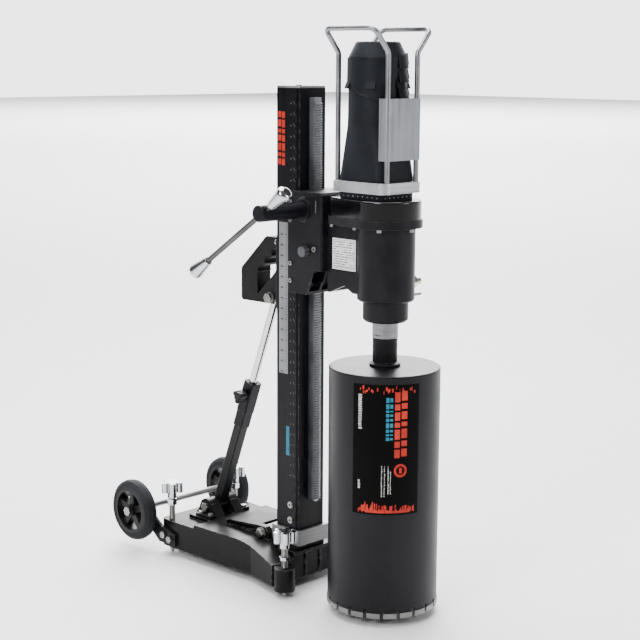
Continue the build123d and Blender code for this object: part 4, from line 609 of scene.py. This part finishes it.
def band_top(angle):
    """Wavy upper edge of the filled band at the foot of the panel."""
    return 217.0 + 3.0 * math.sin(angle * 1.9) * math.sin(angle * 0.7)


wrap(reds, 205.0, 251.0, 211.5, band_top, OVER)
for fleck in range(46):
    angle = random.uniform(197.0, 256.0)
    width = random.uniform(0.5, 2.2)
    rise = random.uniform(3.0, 12.0) * (1.6 if random.random() < 0.25 else 1.0)
    wrap(reds, angle, angle + width, 211.0 + random.uniform(0, 3), 214.0 + rise, OVER + 0.002 * fleck, 0.1, 1)
for fleck in range(26):
    angle = random.uniform(197.0, 254.0)
    width = random.uniform(0.4, 1.8)
    bottom = random.uniform(424.0, 434.0)
    top = min(439.0, bottom + random.uniform(2.0, 7.0))
    wrap(reds, angle, angle + width, bottom, top, OVER + 0.002 * fleck, 0.1, 1)
reds.add("bit_red_marks", "spindle", print_red)

cyans = Shape()
mark_z = 342.0
while mark_z < 417.0:
    height = random.choice((4.0, 6.0, 9.0))
    wrap(cyans, 224.8, 228.0, mark_z, mark_z + height, OVER)
    wrap(cyans, 228.8, 231.8, mark_z + 1.0, mark_z + height - 0.6, OVER)
    mark_z += height + 2.2
cyans.add("bit_cyan_marks", "spindle", print_cyan)

pales = Shape()
for first, last, low, high, step in (
    (196.2, 200.4, 361.0, 423.0, 2.6),
    (196.4, 199.4, 254.0, 270.0, 2.6),
    (220.5, 222.0, 241.0, 297.0, 2.2),
    (223.4, 224.6, 241.0, 297.0, 2.2),
    (227.0, 228.4, 246.0, 297.0, 2.4),
    (229.4, 230.6, 246.0, 290.0, 2.4),
):
    mark_z = low
    while mark_z < high - 1.0:
        length = random.uniform(0.7, step * 1.6)
        left = first + random.uniform(0, 0.3)
        right_end = last - random.uniform(0, 0.8)
        wrap(pales, left, right_end, mark_z, min(mark_z + length, high), OVER)
        mark_z += length + 0.9
pales.add("bit_pale_marks", "spindle", print_white)


# ---------------------------------------------------------------- marks on the column
FACE = -33.0
dots = Shape()
for index in range(37):
    height = 213.0 + 20.0 * index
    if height > 932.0:
        break
    dots.prism(on_side(FACE, disc(210.0, height, 1.5, 14)), (-1, 0, 0), 0.12)
    dots.prism(on_side(FACE, block(199.0, height - 2.0, 1.3, 6.0, 4.0)), (-1, 0, 0), 0.12)
dots.add("column_scale_dots", "column", grey_print_and_boss_highlight)

strip = Shape()
strip.prism(on_side(FACE, block(217.5, 409.0, 24.0, 286.0)), (-1, 0, 0), 0.1)
strip.add("column_ruler_strip", "column", ruler_silver)

ruler = Shape()
for index in range(56):
    height = 412.0 + 5.0 * index
    long_mark = index % 4 == 0
    ruler.prism(on_side(FACE - 0.1, block(219.0, height, 9.0 if long_mark else 4.5, 0.7)), (-1, 0, 0), 0.06)
    if long_mark:
        ruler.prism(on_side(FACE - 0.1, block(231.5, height - 1.2, 3.0, 3.4)), (-1, 0, 0), 0.06)
        ruler.prism(on_side(FACE - 0.1, block(235.6, height - 1.2, 1.4, 3.4)), (-1, 0, 0), 0.06)
ruler.add("column_ruler_marks", "column", dark_print_seam_and_socket_shade)

badge = Shape()
mark_z = 800.0
tall = 0
while mark_z < 898.0:
    height = (12.0, 8.0, 14.0)[tall % 3]
    badge.prism(on_side(FACE, block(226.0, mark_z, 8.0, height, 0.0)), (-1, 0, 0), 0.12)
    badge.prism(on_side(FACE, block(236.0, mark_z + 1.5, 8.0, height - 1.0, 0.0)), (-1, 0, 0), 0.12)
    mark_z += height + 3.0
    tall += 1
badge.add("column_red_badge", "column", print_red)

tag = Shape()
tag.prism(on_side(FACE, block(213.0, 251.0, 9.0, 57.0)), (-1, 0, 0), 0.12)
tag.add("column_cyan_tag", "column", print_cyan)


# ---------------------------------------------------------------- marks on the carriage
plate = Shape()
plate.prism(on_side(-33.0, block(43.0, 622.0, 58.0, 56.0)), (-1, 0, 0), 0.15)
plate.add("rating_plate", "carriage", label_paper)

rating = Shape()
mark_z = 627.0
while mark_z < 674.0:
    place_y = 47.0
    while place_y < 96.0:
        length = random.uniform(2.0, 9.0)
        if random.random() < 0.8:
            end_y = min(place_y + length, 97.0)
            rating.prism(on_side(-33.15, block(place_y, mark_z, end_y - place_y, 1.5)), (-1, 0, 0), 0.06)
        place_y += length + 1.6
    mark_z += 4.4
rating_border = (
    (45, 624.5, 54, 0.6),
    (45, 675, 54, 0.6),
    (45, 624.5, 0.6, 51),
    (98.4, 624.5, 0.6, 51),
)
for frame_y, frame_z, wide, tall in rating_border:
    rating.prism(on_side(-33.15, block(frame_y, frame_z, wide, tall)), (-1, 0, 0), 0.06)
rating.add("rating_plate_print", "carriage", dark_print_seam_and_socket_shade)


# ---------------------------------------------------------------- moulded details of the motor
MOTOR_Y = 26.0


def shell(shape, start, stop, low, high, inner, outer_low, outer_high, steps=24):
    """A curved solid round the motor's axis; its outer radius may differ between bottom and top."""
    base = len(shape.verts)
    for i in range(steps + 1):
        angle = start + (stop - start) * i / steps
        turn = math.radians(angle)
        bottom = low(angle) if callable(low) else low
        top = high(angle) if callable(high) else high
        for r, z in ((inner, bottom), (outer_low, bottom), (outer_high, top), (inner, top)):
            shape.verts.append((r * math.cos(turn), MOTOR_Y + r * math.sin(turn), z))
    for i in range(steps):
        a = base + 4 * i
        for k in range(4):
            m = (k + 1) % 4
            shape.faces.append((a + k, a + m, a + 4 + m, a + 4 + k))
    end = base + 4 * steps
    shape.faces += [(base, base + 1, base + 2, base + 3), (end, end + 3, end + 2, end + 1)]


def hood_low(angle):
    """Lower edge of the hood: high at the left, falling toward the front."""
    return 948.0 - 30.0 * min(1.0, max(0.0, (angle - 140.0) / 95.0))


def hood_high(angle):
    """Seam over the hood, also falling toward the front."""
    return 1000.0 - 13.0 * min(1.0, max(0.0, (angle - 140.0) / 95.0))


hood = Shape()
shell(hood, 128.0, 258.0, hood_low, lambda angle: min(hood_high(angle), 995.0), 51.0, 53.6, 53.0, 40)
shell(
    hood,
    128.0,
    258.0,
    lambda angle: hood_low(angle) - 0.5,
    lambda angle: hood_low(angle) + 4.0,
    51.0,
    55.4,
    53.6,
    40,
)
for level, reach in ((898.0, 54.5), (926.0, 57.5), (954.0, 57.0), (978.0, 55.5)):
    shell(hood, 266.0, 300.0, level, level + 22.0, 50.5, reach, 51.8, 12)
    shell(hood, 304.0, 330.0, level + 6.0, level + 26.0, 50.5, reach - 1.0, 51.8, 10)
hood.add("motor_hood", "carriage", motor_plastic, "motor_plastic")

seams = Shape()
seam_arcs = (
    (884.0, 885.2, 150.0, 262.0),
    (989.0, 990.0, 262.0, 330.0),
    (908.0, 909.0, 195.0, 258.0),
)
for low, high, first, last in seam_arcs:
    shell(seams, first, last, low, high, 51.0, 51.72, 51.72, 30)
shell(seams, 262.0, 263.0, 886.0, 942.0, 51.0, 51.72, 51.72, 1)
for slot in range(5):
    shell(seams, 268.5 + 6.4 * slot, 271.5 + 6.4 * slot, 888.0, 896.0, 51.0, 51.72, 51.72, 2)
seams.add("motor_seams", "carriage", dark_print_seam_and_socket_shade)

studs = Shape()
for index in range(9):
    studs.prism(on_side(-47.0, disc(-20.0 + 11.5 * index, 757.5, 1.3, 10)), (-1, 0, 0), 0.25)
for index in range(8):
    place_x = -38.0 + 11.0 * index
    ring = [(place_x + dx, -31.0, z) for dx, z in disc(0.0, 757.5, 1.3, 10)]
    studs.prism(ring, (0, -1, 0), 0.25)
studs.add("motor_foot_studs", "carriage", foot_steel)


# ---------------------------------------------------------------- painted highlight round the crank boss, and an index mark, on the carriage side
marks = Shape()
# a light arc round the crank boss: painted highlight on its rim
for step_index in range(30):
    first = math.radians(-100.0 + 6.6 * step_index)
    last = math.radians(-100.0 + 6.6 * (step_index + 1))
    arc = [
        (158.0 + r * math.cos(a), 725.0 + r * math.sin(a))
        for r, a in ((21.6, first), (23.2, first), (23.2, last), (21.6, last))
    ]
    marks.prism(on_side(-50.0, arc), (-1, 0, 0), 0.12)
# a vertical index mark beside the boss
marks.prism(on_side(-50.0, block(126.0, 721.0, 3.0, 22.0)), (-1, 0, 0), 0.12)
marks.add("carriage_side_boss_highlight_and_mark", "carriage", grey_print_and_boss_highlight)


# ---------------------------------------------------------------- painted shade of the sockets in the screw heads
def islands(node):
    """Vertex lists, in millimetres, of a node's separate solids."""
    work = bmesh.new()
    work.from_mesh(nodes[node].data)
    bmesh.ops.remove_doubles(work, verts=work.verts, dist=1e-6)
    left = set(work.verts)
    found = []
    while left:
        stack = [left.pop()]
        group = []
        while stack:
            vert = stack.pop()
            group.append(vert.co / MM)
            for edge in vert.link_edges:
                other = edge.other_vert(vert)
                if other in left:
                    left.remove(other)
                    stack.append(other)
        found.append(group)
    work.free()
    return found


def paint_socket_shade(node, body, share=0.5):
    """Dark six-sided plates on the heads of a node's screws, wherever the heads point: painted shade of the
    hex sockets.
    """
    shape = Shape()
    for group in islands(node):
        low = Vector([min(v[k] for v in group) for k in range(3)])
        high = Vector([max(v[k] for v in group) for k in range(3)])
        size = high - low
        axis = max(range(3), key=lambda k: size[k])
        middle = (low + high) / 2
        ends = []
        for level, sense in ((low[axis], -1), (high[axis], 1)):
            near = [v for v in group if abs(v[axis] - level) < 0.05]
            along = Vector([k == axis for k in range(3)])
            spread = max(((v - middle) - (v - middle)[axis] * along).length for v in near)
            ends.append((spread, level, sense))
        spread, level, sense = max(ends)
        radius = spread * share
        if radius < 0.8:
            continue
        first, second = [k for k in range(3) if k != axis]
        outline = []
        for corner_index in range(6):
            angle = math.pi * corner_index / 3
            point = Vector(middle)
            point[axis] = level
            point[first] += radius * math.cos(angle)
            point[second] += radius * math.sin(angle)
            outline.append(tuple(point))
        lift = [0, 0, 0]
        lift[axis] = sense
        shape.prism(outline, lift, 0.12)
    if shape.verts:
        shape.add(node + "_socket_shade", body, dark_print_seam_and_socket_shade)


# painted socket shade on the column screws, the handle bolts and the carriage bolts
for node, body in (("column_screws", "column"), ("handle_bolts", "column"), ("carriage_bolts", "carriage")):
    paint_socket_shade(node, body)


# ---------------------------------------------------------------- floor, light and camera
floor_mesh = bpy.data.meshes.new("floor")
floor_mesh.from_pydata(
    [(-30, -30, 0), (30, -30, 0), (30, 30, 0), (-30, 30, 0)],
    [],
    [(0, 1, 2, 3)],
)
floor_mesh.materials.append(
    finish(
        "floor_white",
        (0.80, 0.80, 0.80),
        (0.82, 0.82, 0.82),
        0.7,
        rough_spread=0.05,
        grain=60.0,
        bump=0.02,
    )
)
floor = bpy.data.objects.new("floor", floor_mesh)
bpy.context.scene.collection.objects.link(floor)

# the studio is bright behind the rig and dark behind the viewer, so black paint stays black
azimuth = math.radians(-44.57)
pitch = math.radians(10.22)
roll = math.radians(0.31)
back = Vector((math.sin(azimuth) * math.cos(pitch), -math.cos(azimuth) * math.cos(pitch), math.sin(pitch)))
world = bpy.data.worlds.new("studio")
bpy.context.scene.world = world
world.use_nodes = True
sky = world.node_tree
facing = sky.nodes.new("ShaderNodeVectorMath")
facing.operation = "DOT_PRODUCT"
sky.links.new(sky.nodes.new("ShaderNodeTexCoord").outputs["Generated"], facing.inputs[0])
facing.inputs[1].default_value = (-back.x, -back.y, 0.0)
glow = sky.nodes.new("ShaderNodeMapRange")
glow.interpolation_type = "SMOOTHSTEP"
for label, value in (("From Min", 0.35), ("From Max", 0.95), ("To Min", 0.16), ("To Max", 3.6)):
    glow.inputs[label].default_value = value
sky.links.new(facing.outputs["Value"], glow.inputs["Value"])
sky.nodes["Background"].inputs["Color"].default_value = (1.0, 1.0, 1.0, 1.0)
sky.links.new(glow.outputs["Result"], sky.nodes["Background"].inputs["Strength"])


def soft_light(name, place, target, size, power, size_y=None):
    """A rectangular lamp at a place, turned to a target point."""
    data = bpy.data.lights.new(name, "AREA")
    data.energy = power
    data.shape = "RECTANGLE"
    data.size = size
    data.size_y = size_y or size
    lamp = bpy.data.objects.new(name, data)
    lamp.location = place
    lamp.rotation_euler = (Vector(target) - Vector(place)).to_track_quat("-Z", "Y").to_euler()
    bpy.context.scene.collection.objects.link(lamp)
    return lamp


soft_light("key_light", (-2.8, -0.4, 2.2), (0.0, 0.2, 0.5), 1.0, 90.0, 1.6)
soft_light("fill_light", (1.2, -2.8, 1.5), (0.0, 0.2, 0.5), 1.0, 40.0, 1.6)
soft_light("top_light", (0.2, 0.8, 3.6), (0.0, 0.3, 0.2), 3.0, 330.0)
soft_light("far_light", (5.5, 5.5, 5.5), (5.5, 5.5, 0.0), 8.0, 1500.0)
soft_light("farther_light", (15.0, 15.0, 9.0), (15.0, 15.0, 0.0), 14.0, 9000.0)

lens = bpy.data.cameras.new("camera")
lens.lens = 81.46
lens.sensor_width = 36.0
lens.clip_start = 0.05
camera = bpy.data.objects.new("camera", lens)
right = Vector((math.cos(azimuth), math.sin(azimuth), 0.0))
up = back.cross(right)
turned_right = right * math.cos(roll) + up * math.sin(roll)
turned_up = up * math.cos(roll) - right * math.sin(roll)
turn = Matrix((turned_right, turned_up, back)).transposed()
camera.matrix_world = Matrix.Translation((-1.8598, -1.7224, 0.9929)) @ turn.to_4x4()
bpy.context.scene.collection.objects.link(camera)
bpy.context.scene.camera = camera
